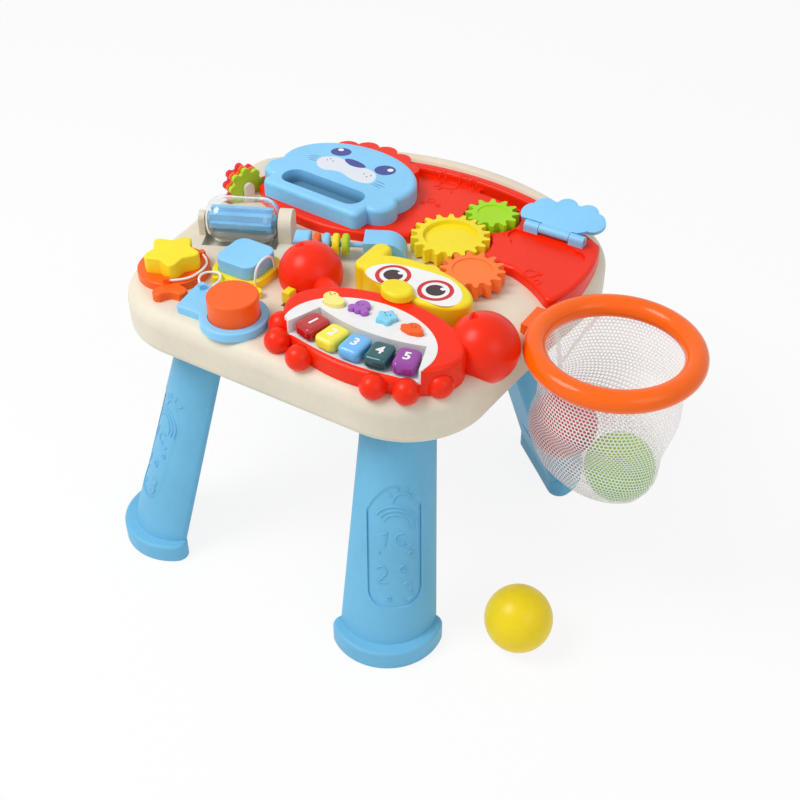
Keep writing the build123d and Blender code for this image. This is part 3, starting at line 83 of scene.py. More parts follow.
# %% Socket wrapper
class Wire:
    """A socket in a node tree, with the arithmetic that the finishes need."""

    def __init__(self, tree, socket=None):
        self.tree = tree
        self.socket = socket

    def node(self, kind, settings=None, inputs=None, output=0):
        """Make a node: its settings first, then the values or links of its sockets."""
        made = self.tree.nodes.new(kind)
        for name, value in (settings or {}).items():
            setattr(made, name, value)
        for name, value in (inputs or {}).items():
            if isinstance(value, Wire):
                self.tree.links.new(value.socket, made.inputs[name])
            else:
                made.inputs[name].default_value = value
        return Wire(self.tree, made.outputs[output])

    def math(self, operation, *values):
        return self.node("ShaderNodeMath", {"operation": operation}, dict(enumerate(values)))

    def __add__(self, other):
        return self.math("ADD", self, other)

    __radd__ = __add__

    def __sub__(self, other):
        return self.math("SUBTRACT", self, other)

    def __rsub__(self, other):
        return self.math("SUBTRACT", other, self)

    def __mul__(self, other):
        return self.math("MULTIPLY", self, other)

    __rmul__ = __mul__

    def __mod__(self, other):
        return self.math("FLOORED_MODULO", self, other)

    def step(self, low, high):
        """Smooth rise from 0 to 1 between two values."""
        return self.node("ShaderNodeMapRange", {"interpolation_type": "SMOOTHSTEP"},
                         {"Value": self, "From Min": low, "From Max": high})

    def mix(self, first, second):
        """Blend of two colours, with this value as the share of the second."""
        first = first if isinstance(first, Wire) else (*first, 1)
        second = second if isinstance(second, Wire) else (*second, 1)
        return self.node("ShaderNodeMix", {"data_type": "RGBA"}, {0: self, 6: first, 7: second}, 2)


def new_finish(name):
    """A bare material: the finish itself, a Wire on its tree and its shader node."""
    finish = bpy.data.materials.new(name)
    finish.use_nodes = True
    shader = finish.node_tree.nodes["Principled BSDF"]
    return finish, Wire(finish.node_tree), shader


def drive(tree, shader, **sockets):
    """Link wires to, or set numbers on, a shader's sockets; underscores stand for spaces."""
    for name, value in sockets.items():
        socket = shader.inputs[name.replace("_", " ")]
        if isinstance(value, Wire):
            tree.tree.links.new(value.socket, socket)
        else:
            socket.default_value = value


print("socket wrapper ready")

# %% [markdown]
# ## Cords
# Three thin white cords tie the shape blocks to the table: one lies as an arc beside the star, one stands as
# a loop over the square's edge and one curls beside the circle. Each is a smooth curve through a few control
# points with a round section, which is how a limp cord of fixed length lies.

# %% Cords of the blocks
CORD_ROUTES = {
    "tether_star": [(-180.67, -77.91, 266), (-170.37, -83.41, 266), (-165.37, -95.71, 266),
                    (-165.87, -109.71, 266), (-170.37, -119.21, 266), (-179.27, -125.71, 266)],
    "tether_square": [(-115.58, -87.52, 264), (-115.58, -87.52, 281), (-115.58, -59.52, 281),
                      (-115.58, -59.52, 264)],
    "tether_circle": [(-130.87, -124.66, 266), (-142.37, -115.16, 266), (-141.37, -103.16, 266),
                      (-149.37, -92.16, 266), (-162.37, -99.16, 266), (-160.37, -111.16, 266),
                      (-151.87, -116.66, 266)],
}
CORD_DIAMETER = 2.2 * MM


def cord_finish():
    """Soft white braid: fine slanted strands under a slightly uneven white."""
    finish, tree, shader = new_finish("white_braid")
    place = tree.node("ShaderNodeTexCoord", output=3)
    strands = tree.node("ShaderNodeTexWave", {"bands_direction": "DIAGONAL"},
                        {"Vector": place, "Scale": 420.0, "Distortion": 1.2, "Detail": 1.0}, 1)
    tint = strands.mix((0.84, 0.80, 0.80), (0.95, 0.93, 0.93))
    bump = tree.node("ShaderNodeBump", None, {"Strength": 0.35, "Distance": 0.0003, "Height": strands})
    drive(tree, shader, Base_Color=tint, Roughness=0.75, Normal=bump)
    return finish


braid = cord_finish()
for name, route in CORD_ROUTES.items():
    curve = bpy.data.curves.new(name + "_cord", "CURVE")
    curve.dimensions = "3D"
    spline = curve.splines.new("NURBS")
    spline.points.add(len(route) - 1)
    for point, place in zip(spline.points, route):
        point.co = (*[c * MM for c in place], 1)
    spline.order_u = 3
    spline.use_endpoint_u = True
    spline.resolution_u = 12
    cord = bpy.data.objects.new(name + "_cord", curve)
    scene.collection.objects.link(cord)
    bpy.context.view_layer.update()
    line = bpy.data.meshes.new_from_object(cord)
    curve.bevel_depth = CORD_DIAMETER / 2
    curve.bevel_resolution = 3
    curve.use_fill_caps = True
    curve.materials.append(braid)
    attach(cord, "table")
    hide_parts(name)

# %% [markdown]
# ## Light and floor
# A plain white floor and a white sky light the table from all round, one large soft lamp above the left of
# the camera gives the tops their gentle shine, and a weaker one fills in from the right. The sky looks white
# to the camera, and lights less. The floor looks nearly as white to the camera, and keeps a faint share of
# the table's shadow.

# %% Floor, sky and lamps
FLOOR_GLOW = 0.86
FLOOR_HALF = 6
FLOOR_DROP = 0.0002
SKY_LIGHT = 0.52
LAMP_AIM = Vector((0, 0, 0.2))


def seen_rays(tree):
    """1 for rays that come from the camera, a mirror or clear plastic, and 0 for rays that only light."""
    paths = tree.node("ShaderNodeLightPath")
    outputs = paths.socket.node.outputs
    seen, mirrored, refracted = (Wire(tree.tree, outputs[name]) for name in (
        "Is Camera Ray", "Is Glossy Ray", "Is Transmission Ray"))
    return tree.math("MINIMUM", seen + mirrored + refracted, 1.0)


def pale_floor():
    """Plain white matt floor, lightened where it is seen."""
    finish, tree, shader = new_finish("floor_white")
    drive(tree, shader, Base_Color=(0.93, 0.93, 0.93, 1), Roughness=0.9)
    glow = tree.node("ShaderNodeEmission", None, {"Color": (1, 1, 1, 1), "Strength": 1.0})
    blend = tree.tree.nodes.new("ShaderNodeMixShader")
    tree.tree.links.new((seen_rays(tree) * FLOOR_GLOW).socket, blend.inputs[0])
    tree.tree.links.new(shader.outputs[0], blend.inputs[1])
    tree.tree.links.new(glow.socket, blend.inputs[2])
    tree.tree.links.new(blend.outputs[0], tree.tree.nodes["Material Output"].inputs[0])
    return finish


floor_mesh = bpy.data.meshes.new("floor")
floor_corners = [(x * FLOOR_HALF, y * FLOOR_HALF, 0) for x, y in ((-1, -1), (1, -1), (1, 1), (-1, 1))]
floor_mesh.from_pydata(floor_corners, [], [(0, 1, 2, 3)])
floor = bpy.data.objects.new("floor", floor_mesh)
floor.location.z = -FLOOR_DROP
floor_mesh.materials.append(pale_floor())
scene.collection.objects.link(floor)

sky = bpy.data.worlds.new("sky")
sky.use_nodes = True
scene.world = sky
sky_tree = Wire(sky.node_tree)
backdrop = sky.node_tree.nodes["Background"]
backdrop.inputs["Color"].default_value = (1, 1, 1, 1)
strength = SKY_LIGHT + seen_rays(sky_tree) * (1 - SKY_LIGHT)
sky.node_tree.links.new(strength.socket, backdrop.inputs["Strength"])


def soft_lamp(name, place, size, watts):
    """Round area lamp that looks at the table."""
    lamp = bpy.data.lights.new(name, "AREA")
    lamp.shape = "DISK"
    lamp.size = size
    lamp.energy = watts
    holder = bpy.data.objects.new(name, lamp)
    holder.location = place
    holder.rotation_euler = (LAMP_AIM - Vector(place)).to_track_quat("-Z", "Y").to_euler()
    scene.collection.objects.link(holder)


soft_lamp("key_lamp", (-0.9, -0.9, 1.9), size=1.1, watts=26)
soft_lamp("fill_lamp", (1.6, -0.6, 1.3), size=1.2, watts=5)
print("floor, sky and two lamps")

# %% [markdown]
# ## Moulded plastic
# Nearly every piece is coloured plastic from a mould. Real mouldings are not one flat colour: pigment drifts
# a little over a hand's width, the sheen varies where the mould was polished, and a fine spark-eroded grain
# breaks the highlights. One function takes the colour and the sheen and builds all three from noise that is
# fixed to the table. The face's finger slot is deep, so painted shade darkens its blue towards the floor.


# %% Plastic finishes
def linear(red, green, blue):
    """Screen colour, 0 to 255, as linear light."""
    shares = [c / 255 for c in (red, green, blue)]
    return tuple(c / 12.92 if c <= 0.04045 else ((c + 0.055) / 1.055) ** 2.4 for c in shares)


# Where the face's finger slot gets painted shade, and how dark the shade is painted at its floor.
SLOT_MIDDLE = Vector((-142.31, 54.90, 270)) * MM
SLOT_TURN = radians(-4)
SLOT_ENDS = (46 * MM, 46.4 * MM)
SLOT_SIDES = (13 * MM, 13.4 * MM)
SLOT_DEPTH = 12.6 * MM
SLOT_SHADE = 0.42


def finger_slot(tree, place):
    """Mask of the painted shade: 0 on the face's outside, rising to 1 at the floor of its finger slot."""
    axes = tree.node("ShaderNodeSeparateXYZ", None, {"Vector": place}).socket.node.outputs
    x, y, z = (Wire(tree.tree, socket) for socket in axes)
    middle = nodes["face_plate"].matrix_world.inverted() @ SLOT_MIDDLE
    east, north = x - middle.x, y - middle.y
    along = tree.math("ABSOLUTE", east * cos(SLOT_TURN) + north * sin(SLOT_TURN))
    across = tree.math("ABSOLUTE", north * cos(SLOT_TURN) - east * sin(SLOT_TURN))
    inside = (1 - along.step(*SLOT_ENDS)) * (1 - across.step(*SLOT_SIDES))
    return inside * (1 - z.step(middle.z, middle.z + SLOT_DEPTH))


def plastic(name, colour, rough=0.42, grain=0.10, coat=0.0, drift=0.06, shine=0.30, shaded=None):
    """Moulded plastic with drifting pigment, uneven sheen and a fine grain, with painted shade where a shade
    mask is given.
    """
    finish, tree, shader = new_finish(name)
    place = tree.node("ShaderNodeTexCoord", output=3)
    cloud = tree.node("ShaderNodeTexNoise", None, {"Vector": place, "Scale": 14.0, "Detail": 3.0})
    mottle = tree.node("ShaderNodeTexNoise", None, {"Vector": place, "Scale": 160.0, "Detail": 2.0})
    skin = tree.node("ShaderNodeTexNoise", None, {"Vector": place, "Scale": 1500.0, "Detail": 2.0})
    darker = tuple(c * (1 - drift) for c in colour)
    lighter = tuple(min(1, c * (1 + drift * 0.6) + drift * 0.01) for c in colour)
    tint = (cloud * 0.75 + mottle * 0.25).step(0.3, 0.7).mix(darker, lighter)
    if shaded:
        # Painted shade: the colour darkens to SLOT_SHADE of itself where the mask rises to the slot's floor.
        tint = shaded(tree, place).mix(tint, tuple(c * SLOT_SHADE for c in colour))
    bump = tree.node("ShaderNodeBump", None, {"Strength": grain, "Distance": 0.0003, "Height": skin})
    drive(tree, shader, Base_Color=tint, Roughness=rough - 0.05 + cloud * 0.1, Normal=bump,
          Specular_IOR_Level=shine)
    if coat:
        drive(tree, shader, Coat_Weight=coat, Coat_Roughness=0.06)
    return finish


CREAM = linear(227, 219, 199)
RED = linear(246, 44, 8)
BLUE = linear(136, 205, 248)
LEG_BLUE = linear(110, 184, 222)
YELLOW = linear(246, 224, 34)
ORANGE = linear(255, 98, 22)
LIME = linear(182, 210, 46)
finishes = {
    "cream": plastic("cream_plastic", CREAM, 0.46),
    "red": plastic("red_plastic", RED, 0.31, shine=0.22),
    "light_blue": plastic("sky_blue_plastic", BLUE, 0.34),
    # The face plate's blue, with painted shade in its finger slot.
    "face_blue": plastic("face_blue_plastic", BLUE, 0.34, shaded=finger_slot),
    "leg_blue": plastic("leg_blue_plastic", LEG_BLUE, 0.46),
    "yellow": plastic("yellow_plastic", YELLOW, 0.36),
    "orange": plastic("orange_plastic", ORANGE, 0.34),
    "gear_orange": plastic("pale_orange_plastic", linear(255, 128, 56), 0.48),
    "hoop_orange": plastic("hoop_orange_plastic", linear(255, 104, 0), 0.24, 0.03, 0.2, shine=0.2),
    "green": plastic("gear_green_plastic", linear(166, 222, 26), 0.44),
    "lime": plastic("lime_plastic", LIME, 0.42),
    "crimson": plastic("crimson_plastic", linear(228, 32, 62), 0.40),
    "white": plastic("white_panel_plastic", linear(238, 238, 238), 0.40),
    "key_red": plastic("key_red_gloss", linear(188, 22, 26), 0.18, 0.02, 0.6),
    "key_yellow": plastic("key_yellow_gloss", linear(246, 234, 72), 0.20, 0.02, 0.6),
    "key_blue": plastic("key_blue_gloss", linear(108, 184, 246), 0.18, 0.02, 0.6),
    "key_teal": plastic("key_teal_gloss", linear(2, 84, 90), 0.16, 0.02, 0.6),
    "key_purple": plastic("key_purple_gloss", linear(150, 54, 158), 0.18, 0.02, 0.6),
    "pale_yellow": plastic("pale_yellow_plastic", linear(252, 236, 138), 0.40),
    "purple": plastic("purple_plastic", linear(168, 98, 190), 0.38),
    "button_blue": plastic("button_blue_plastic", linear(134, 214, 244), 0.38),
    "ball_red": plastic("ball_red_plastic", linear(214, 52, 56), 0.36, 0.03),
    "ball_lime": plastic("ball_green_plastic", linear(150, 206, 70), 0.36, 0.03),
    "ball_yellow": plastic("ball_yellow_plastic", linear(240, 212, 24), 0.34, 0.03),
    "dark": plastic("dark_plastic", linear(44, 40, 44), 0.5),
    "board": plastic("board_green", linear(24, 96, 50), 0.4),
    "pad": plastic("grey_rubber", linear(150, 150, 152), 0.7),
}
print("plastic finishes", len(finishes))


# %% [markdown]
# ## Clear plastic and steel
# The drum is clear moulded plastic, so it bends the view of its paddle a little and keeps a sharp highlight.
# The screws and the hinge pin are plain drawn steel with faint lengthwise lines.


# %% Clear shell and steel
def clear_plastic():
    finish, tree, shader = new_finish("clear_shell")
    place = tree.node("ShaderNodeTexCoord", output=3)
    haze = tree.node("ShaderNodeTexNoise", None, {"Vector": place, "Scale": 60.0, "Detail": 2.0})
    drive(tree, shader, Base_Color=(0.97, 0.985, 0.99, 1), Roughness=0.02 + haze * 0.04, IOR=1.46,
          Transmission_Weight=1.0)
    return finish


def drawn_steel():
    finish, tree, shader = new_finish("drawn_steel")
    place = tree.node("ShaderNodeTexCoord", output=3)
    lines = tree.node("ShaderNodeTexNoise", None, {"Vector": place, "Scale": 900.0, "Detail": 2.0})
    tint = lines.mix((0.52, 0.53, 0.55), (0.68, 0.69, 0.71))
    drive(tree, shader, Base_Color=tint, Metallic=1.0, Roughness=0.25 + lines * 0.15)
    return finish


finishes["clear"] = clear_plastic()
finishes["steel"] = drawn_steel()

WEARS = {
    "leg_front_left": "leg_blue", "leg_front_right": "leg_blue", "leg_back_left": "leg_blue",
    "leg_back_right": "leg_blue", "gear_orange": "gear_orange", "hoop_ring": "hoop_orange",
    "ball_red": "ball_red", "ball_green": "ball_lime", "ball_yellow": "ball_yellow",
    "button_blue": "button_blue", "face_plate": "face_blue",
}
for entry in frame["record"]["subparts"]:
    name = entry["node"]
    node = nodes[name]
    finish = finishes.get(WEARS.get(name, entry["material_slot"]))
    if finish is None:
        continue
    node.data.materials.clear()
    node.data.materials.append(finish)
print("dressed", sum(1 for n in nodes.values() if n.data.materials), "solids")

# %% [markdown]
# ## Ball net
# The net is a bag of fine white mesh, sewn round the hoop and closed below. It is lofted as one sagging sheet
# from rings that lean towards the table, with soft sideways waves where the cloth hangs loose. The two balls
# lie side by side, so the lower rings draw in across the pair. The mesh itself is a lattice of small round
# holes set in the finish, by the sheet's own length and girth.

# %% Net sheet
HOOP = Vector((189.13, -13.12, 264)) * MM
NET_LEAN = Vector((-11.15, 3.69, 0)) * MM
BALL_LINE = Vector((0.951, -0.308, 0))
NET_DRAW = 0.40
NET_ROUND = 96
NET_LEVELS = 60
NET_INSET = 0.4
NET_SLACK = 0.9
SLACK_DROP = 120
LEAN_FROM = 50
LEAN_RUN = 49
MESH_COLUMNS = 112
MESH_ROWS = 54
THREAD_EDGE = (0.32, 0.44)
SEAM_EDGE = (0.006, 0.008)
SEAM_END = (0.24, 0.25)
HEM_EDGE = (0.022, 0.026)
FILM_COVER = 0.08
THREAD_COVER = 0.74
NET_PROFILE = [(4.2, 61.2), (12, 60.7), (30, 60.2), (50, 60.4), (75, 63.8), (99, 67.4), (112, 66.2),
               (122, 62.4), (133, 55.4), (139.5, 47.0), (141.8, 34), (142.4, 18), (142.5, 1.5)]


def profile_at(share):
    """Drop and radius along the net's outline, and how far it leans there."""
    spans = [hypot(b[0] - a[0], b[1] - a[1]) for a, b in zip(NET_PROFILE, NET_PROFILE[1:])]
    reach = share * sum(spans)
    for (low, high), span in zip(zip(NET_PROFILE, NET_PROFILE[1:]), spans):
        if reach <= span:
            break
        reach -= span
    part = min(1, reach / span)
    drop = low[0] + part * (high[0] - low[0])
    radius = low[1] + part * (high[1] - low[1])
    lean = min(1, max(0, (drop - LEAN_FROM) / LEAN_RUN))
    return drop, radius, lean * lean * (3 - 2 * lean)


def net_finish():
    """White mesh: round holes in a staggered lattice, and threads that let light through."""
    finish, tree, shader = new_finish("white_net")
    sheet_uv = tree.node("ShaderNodeUVMap", {"uv_map": "UVMap"})
    across = tree.node("ShaderNodeSeparateXYZ", None, {"Vector": sheet_uv})
    along = Wire(tree.tree, across.socket.node.outputs[1])
    row = along * MESH_ROWS
    shift = tree.math("FLOOR", row) % 2.0
    column = across * MESH_COLUMNS + shift * 0.5
    x = column % 1.0 - 0.5
    y = row % 1.0 - 0.5
    reach = tree.math("SQRT", x * x + y * y)
    thread = reach.step(*THREAD_EDGE)
    long_seam = tree.math("ABSOLUTE", across + along * 0.1 - 0.464).step(*SEAM_EDGE)
    slant_seam = tree.math("ABSOLUTE", across - along * 0.37 - 0.345).step(*SEAM_EDGE)
    open_mesh = tree.math("MAXIMUM", slant_seam, along.step(*SEAM_END)) * long_seam
    hem = along.step(*HEM_EDGE)
    cover = 1 - (1 - thread) * open_mesh * hem
    shade = thread.mix((0.88, 0.87, 0.87), (0.96, 0.95, 0.95))
    bump = tree.node("ShaderNodeBump", None, {"Strength": 0.3, "Distance": 0.0004, "Height": cover})
    drive(tree, shader, Base_Color=shade, Roughness=0.8, Alpha=FILM_COVER + cover * THREAD_COVER, Normal=bump)
    return finish


net_mesh = bpy.data.meshes.new("net_bag")
shape = bmesh.new()
uv_layer = shape.loops.layers.uv.new("UVMap")
rings = []
for level in range(NET_LEVELS + 1):
    share = level / NET_LEVELS
    drop, radius, lean = profile_at(share)
    slack = NET_SLACK * sin(pi * min(1, drop / SLACK_DROP)) ** 2
    ring = []
    for i in range(NET_ROUND):
        turn = 2 * pi * i / NET_ROUND
        wave = slack * (0.6 * sin(5 * turn + 3 * share) + 0.4 * sin(9 * turn - 5 * share))
        reach = (radius - NET_INSET + min(0, wave)) * MM
        spoke = Vector((reach * cos(turn), reach * sin(turn), 0))
        along_pair = BALL_LINE * spoke.dot(BALL_LINE)
        spoke = along_pair + (spoke - along_pair) * (1 - NET_DRAW * lean)
        ring.append(shape.verts.new(HOOP + NET_LEAN * lean + spoke + Vector((0, 0, -drop * MM))))
    rings.append(ring)
for level, (upper, lower) in enumerate(zip(rings, rings[1:])):
    for i in range(NET_ROUND):
        j = (i + 1) % NET_ROUND
        face = shape.faces.new((upper[i], lower[i], lower[j], upper[j]))
        face.smooth = True
        corners = ((i, level), (i, level + 1), (i + 1, level + 1), (i + 1, level))
        for loop, (column, row) in zip(face.loops, corners):
            loop[uv_layer].uv = (column / NET_ROUND, row / NET_LEVELS)
shape.to_mesh(net_mesh)
shape.free()
net_mesh.materials.append(net_finish())
net = bpy.data.objects.new("net_bag", net_mesh)
scene.collection.objects.link(net)
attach(net, "table")
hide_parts("hoop_net")

# %% [markdown]
# ## Printed faces
# The eyes, the muzzle and the whiskers are prints on flat moulded tops. Each is a paper-thin patch, cut from
# a smooth outline and laid on the surface below it, so it stays put from every side.


# %% Print patches
def ellipse(centre, half, turn=0.0, count=40):
    """Points round an ellipse, in millimetres."""
    c, s = cos(radians(turn)), sin(radians(turn))
    points = []
    for i in range(count):
        x, y = half[0] * cos(2 * pi * i / count), half[1] * sin(2 * pi * i / count)
        points.append((centre[0] + x * c - y * s, centre[1] + x * s + y * c))
    return points


def smooth_outline(corners, steps=6):
    """Closed smooth line through a few corners."""
    points = []
    count = len(corners)
    for i in range(count):
        a, b, c, d = (Vector(corners[(i + k) % count]) for k in (-1, 0, 1, 2))
        for k in range(steps):
            t = k / steps
            points.append(tuple(0.5 * (2 * b + (c - a) * t + (2 * a - 5 * b + 4 * c - d) * t * t
                                       + (3 * b - a - 3 * c + d) * t ** 3)))
    return points


def strip(points, width):
    """Outline of a thin stroke along a few points, pointed at its ends."""
    left, right = [], []
    for i, point in enumerate(points):
        before, after = points[max(0, i - 1)], points[min(len(points) - 1, i + 1)]
        run = Vector((after[0] - before[0], after[1] - before[1])).normalized()
        half = width / 2 * (0.35 if i in (0, len(points) - 1) else 1)
        left.append((point[0] - run.y * half, point[1] + run.x * half))
        right.append((point[0] + run.y * half, point[1] - run.x * half))
    return left + right[::-1]


def ink(name, colour, rough=0.35):
    """Printed ink: a thin even film with a faint screen grain."""
    finish, tree, shader = new_finish(name)
    place = tree.node("ShaderNodeTexCoord", output=3)
    dots = tree.node("ShaderNodeTexNoise", None, {"Vector": place, "Scale": 900.0, "Detail": 1.0})
    tint = dots.mix(tuple(c * 0.94 for c in colour), colour)
    drive(tree, shader, Base_Color=tint, Roughness=rough + dots * 0.08)
    return finish


inks = {
    "navy": ink("navy_ink", linear(48, 62, 146)),
    "white": ink("white_ink", linear(244, 244, 244)),
    "muzzle": ink("muzzle_ink", linear(226, 232, 240)),
    "line": ink("whisker_ink", linear(62, 108, 152)),
    "ring": ink("ring_ink", linear(206, 22, 34)),
    "pupil": ink("pupil_ink", linear(46, 14, 18), 0.25),
    "face": ink("face_ink", linear(52, 48, 56)),
}


INK_DEPTH = 0.05
LAYERS = (0.10, 0.16, 0.22, 0.28, 0.34)


def patches(name, body, colour, height, outlines, lift=LAYERS[0]):
    """Thin printed patches of one ink on a level top, as one piece."""
    mesh = bpy.data.meshes.new(name)
    work = bmesh.new()
    for outline in outlines:
        top = [work.verts.new((x * MM, y * MM, (height + lift) * MM)) for x, y in outline]
        low = [work.verts.new((x * MM, y * MM, (height - INK_DEPTH) * MM)) for x, y in outline]
        work.faces.new(top)
        work.faces.new(low[::-1])
        for i in range(len(top)):
            j = (i + 1) % len(top)
            work.faces.new((top[i], low[i], low[j], top[j]))
    bmesh.ops.recalc_face_normals(work, faces=work.faces)
    bmesh.ops.triangulate(work, faces=[f for f in work.faces if len(f.verts) > 4])
    work.to_mesh(mesh)
    work.free()
    mesh.materials.append(inks[colour])
    piece = bpy.data.objects.new(name, mesh)
    scene.collection.objects.link(piece)
    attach(piece, body)
    return piece


# %% Seal's face
FACE_TOP = 283
WHISKER = 0.8
FACE_DOT = (0.8, 0.8)
DOT_CORNERS = 12
patches("seal_muzzle", "table", "muzzle", FACE_TOP, [smooth_outline([
    (-173.7, 89.7), (-176.8, 96.6), (-173.9, 103.7), (-164.2, 109.2), (-154.1, 108.4), (-143.7, 104.2),
    (-132.7, 103.4), (-125.4, 105.0), (-115.1, 102.3), (-108.5, 94.6), (-107.2, 85.6), (-112.2, 80.4),
    (-121.9, 79.6), (-131.7, 81.8), (-143.2, 86.0), (-152.2, 85.0), (-158.8, 82.4), (-167.3, 84.0)])])
patches("seal_eyes", "table", "navy", FACE_TOP, [
    ellipse((-165.8, 120.4), (10.2, 8.2), 20), ellipse((-109.1, 111.7), (10.4, 9.4), 20)])
patches("seal_nose", "table", "navy", FACE_TOP, [smooth_outline([
    (-153.8, 109.4), (-151.6, 112.4), (-144.1, 113.1), (-134.2, 111.0), (-128.4, 107.0), (-133.0, 102.9),
    (-141.8, 102.2), (-149.5, 105.2)])], LAYERS[1])
patches("seal_eye_lights", "table", "white", FACE_TOP, [
    ellipse((-168.2, 123.9), (3.0, 2.6)), ellipse((-104.8, 114.4), (2.9, 3.0))], LAYERS[1])
patches("seal_whiskers", "table", "line", FACE_TOP, [strip(points, WHISKER) for points in (
    [(-188.4, 97.1), (-182.8, 100.2), (-177.3, 102.3)], [(-187.0, 93.8), (-181.4, 96.2), (-176.1, 98.1)],
    [(-183.5, 91.3), (-179.4, 92.6), (-175.5, 93.5)], [(-105.4, 89.8), (-100.0, 89.4), (-94.8, 88.2)],
    [(-104.9, 85.2), (-98.0, 84.7), (-91.1, 83.3)], [(-105.7, 82.7), (-100.0, 81.8), (-94.2, 80.1)])])
patches("seal_dots", "table", "face", FACE_TOP, [
    ellipse(place, FACE_DOT, count=DOT_CORNERS) for place in (
        (-168.0, 99.6), (-166.4, 103.1), (-161.8, 100.7), (-122.4, 95.0), (-117.2, 91.5), (-114.9, 95.6))],
        LAYERS[1])
print("seal's face printed")

# %% Goggle-eyed fish
FISH_TOP = 283
RING_CORNERS = 72
RING_RADIUS = 15.4
POINT_SPREAD = 0.5
POINT_SHARPNESS = 1.5
EYE_LIGHT = (2.6, 2.2)
patches("fish_goggle", "table", "white", FISH_TOP, [smooth_outline([
    (-28.6, -45.8), (-27.6, -35.5), (-17.8, -25.3), (-3.1, -20.4), (10.0, -18.6), (23.0, -17.6),
    (36.8, -18.3), (48.2, -23.2), (57.4, -31.5), (61.8, -41.8), (60.6, -49.8), (54.5, -55.4),
    (45.3, -57.2), (28.8, -55.4), (21.9, -52.6), (9.9, -50.4), (0.6, -51.6), (-6.8, -54.6),
    (-14.4, -54.2), (-23.0, -51.2)])])


def ring_outline(centre, radius, corner):
    """Round ring drawn out to a point at its lower left."""
    points = []
    bearing = atan2(corner[1] - centre[1], corner[0] - centre[0])
    for i in range(RING_CORNERS):
        turn = 2 * pi * i / RING_CORNERS
        off = (turn - bearing + pi) % (2 * pi) - pi
        stretch = max(0.0, 1 - abs(off) / POINT_SPREAD) ** POINT_SHARPNESS
        reach = radius + stretch * (hypot(corner[0] - centre[0], corner[1] - centre[1]) - radius)
        points.append((centre[0] + reach * cos(turn), centre[1] + reach * sin(turn)))
    return points


EYES = ((-5.6, -38.4), (36.6, -39.4))
patches("fish_rings", "table", "ring", FISH_TOP, [
    ring_outline(EYES[0], RING_RADIUS, (-10.2, -54.0)), ring_outline(EYES[1], RING_RADIUS, (31.0, -55.0))],
        LAYERS[1])
patches("fish_eye_whites", "table", "white", FISH_TOP, [ellipse(c, (11.7, 11.7)) for c in EYES], LAYERS[2])
patches("fish_pupils", "table", "pupil", FISH_TOP, [ellipse(c, (8.4, 8.0)) for c in EYES], LAYERS[3])
patches("fish_eye_lights", "table", "white", FISH_TOP, [
    ellipse((-1.6, -32.6), EYE_LIGHT, 30, 20), ellipse((41.2, -34.6), EYE_LIGHT, 30, 20)], LAYERS[4])
print("fish printed")

# %% [markdown]
# ## Keys and buttons
# The five keys carry a white print. Plain numbers from 1 to 5 stand there. The little sea animals of the
# buttons get two eyes and a smile each.

# %% Key numbers
KEY_TOP = 281.5
DIGIT_LIFT = 0.05
DIGIT_SIZE = 13 * MM
DIGIT_SWELL = 0.35 * MM
DIGIT_THICK = 0.06 * MM
KEYS = (("key_red", (-26.22, -127.17), -15.2), ("key_yellow", (-4.13, -131.63), -7.6),
        ("key_light_blue", (18.35, -133.12), 0), ("key_teal", (40.84, -131.63), 7.6),
        ("key_purple", (62.93, -127.17), 15.2))
for number, (body, place, turn) in enumerate(KEYS, 1):
    words = bpy.data.curves.new("digit_" + body, "FONT")
    words.body = str(number)
    words.align_x = "CENTER"
    words.align_y = "CENTER"
    words.size = DIGIT_SIZE
    words.offset = DIGIT_SWELL
    words.extrude = DIGIT_THICK
    carrier = bpy.data.objects.new("digit_" + body, words)
    scene.collection.objects.link(carrier)
    bpy.context.view_layer.update()
    flat = bpy.data.meshes.new_from_object(carrier)
    bpy.data.objects.remove(carrier)
    flat.transform(Matrix.Rotation(radians(turn), 4, "Z"))
    flat.transform(Matrix.Translation((place[0] * MM, place[1] * MM, (KEY_TOP + DIGIT_LIFT) * MM)))
    flat.materials.clear()
    flat.materials.append(inks["white"])
    digit = bpy.data.objects.new("digit_" + body, flat)
    scene.collection.objects.link(digit)
    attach(digit, body)
print("numbers on", len(KEYS), "keys")

# %% Button faces
BUTTON_TOP = 285.4
BUTTON_EYE = (0.8, 0.6)
SMILE_DROP = 2.2
SMILE = ((-1.6, 0.5), (0, -0.3), (1.6, 0.5))
SMILE_WIDTH = 0.6
BUTTONS = (("button_yellow", ((-33.5, -91.6), (-29.6, -90.4))),
           ("button_purple", ((-6.6, -91.0), (-1.6, -91.4))),
           ("button_blue", ((20.2, -91.6), (25.6, -92.0))),
           ("button_orange", ((47.2, -94.6), (51.4, -95.2))))
for body, (left, right) in BUTTONS:
    middle = ((left[0] + right[0]) / 2, (left[1] + right[1]) / 2 - SMILE_DROP)
    smile = [(middle[0] + x, middle[1] + y) for x, y in SMILE]
    eyes = [ellipse(place, BUTTON_EYE, count=DOT_CORNERS) for place in (left, right)]
    patches("face_" + body, body, "face", BUTTON_TOP, eyes + [strip(smile, SMILE_WIDTH)])
print("faces on", len(BUTTONS), "buttons")

# %% [markdown]
# ## Raised pictures
# Each leg has a sunk panel with a sun, a rainbow and the numbers 1, 2 and 3 standing up from it, and the deck
# has faint sea pictures. They are rounded ridges, so each stroke is a curve with a round section, laid on the
# solid by casting rays at it.


# %% Ridges laid on a solid
STROKE_STEP = 1.2
RIDGE_RISE = 0.02 * MM
RAY_BACK = 0.06
RAY_REACH = 0.2


def surface_of(name):
    """Search tree over a solid's faces."""
    mesh = nodes[name].data
    return BVHTree.FromPolygons([v.co for v in mesh.vertices], [p.vertices for p in mesh.polygons])


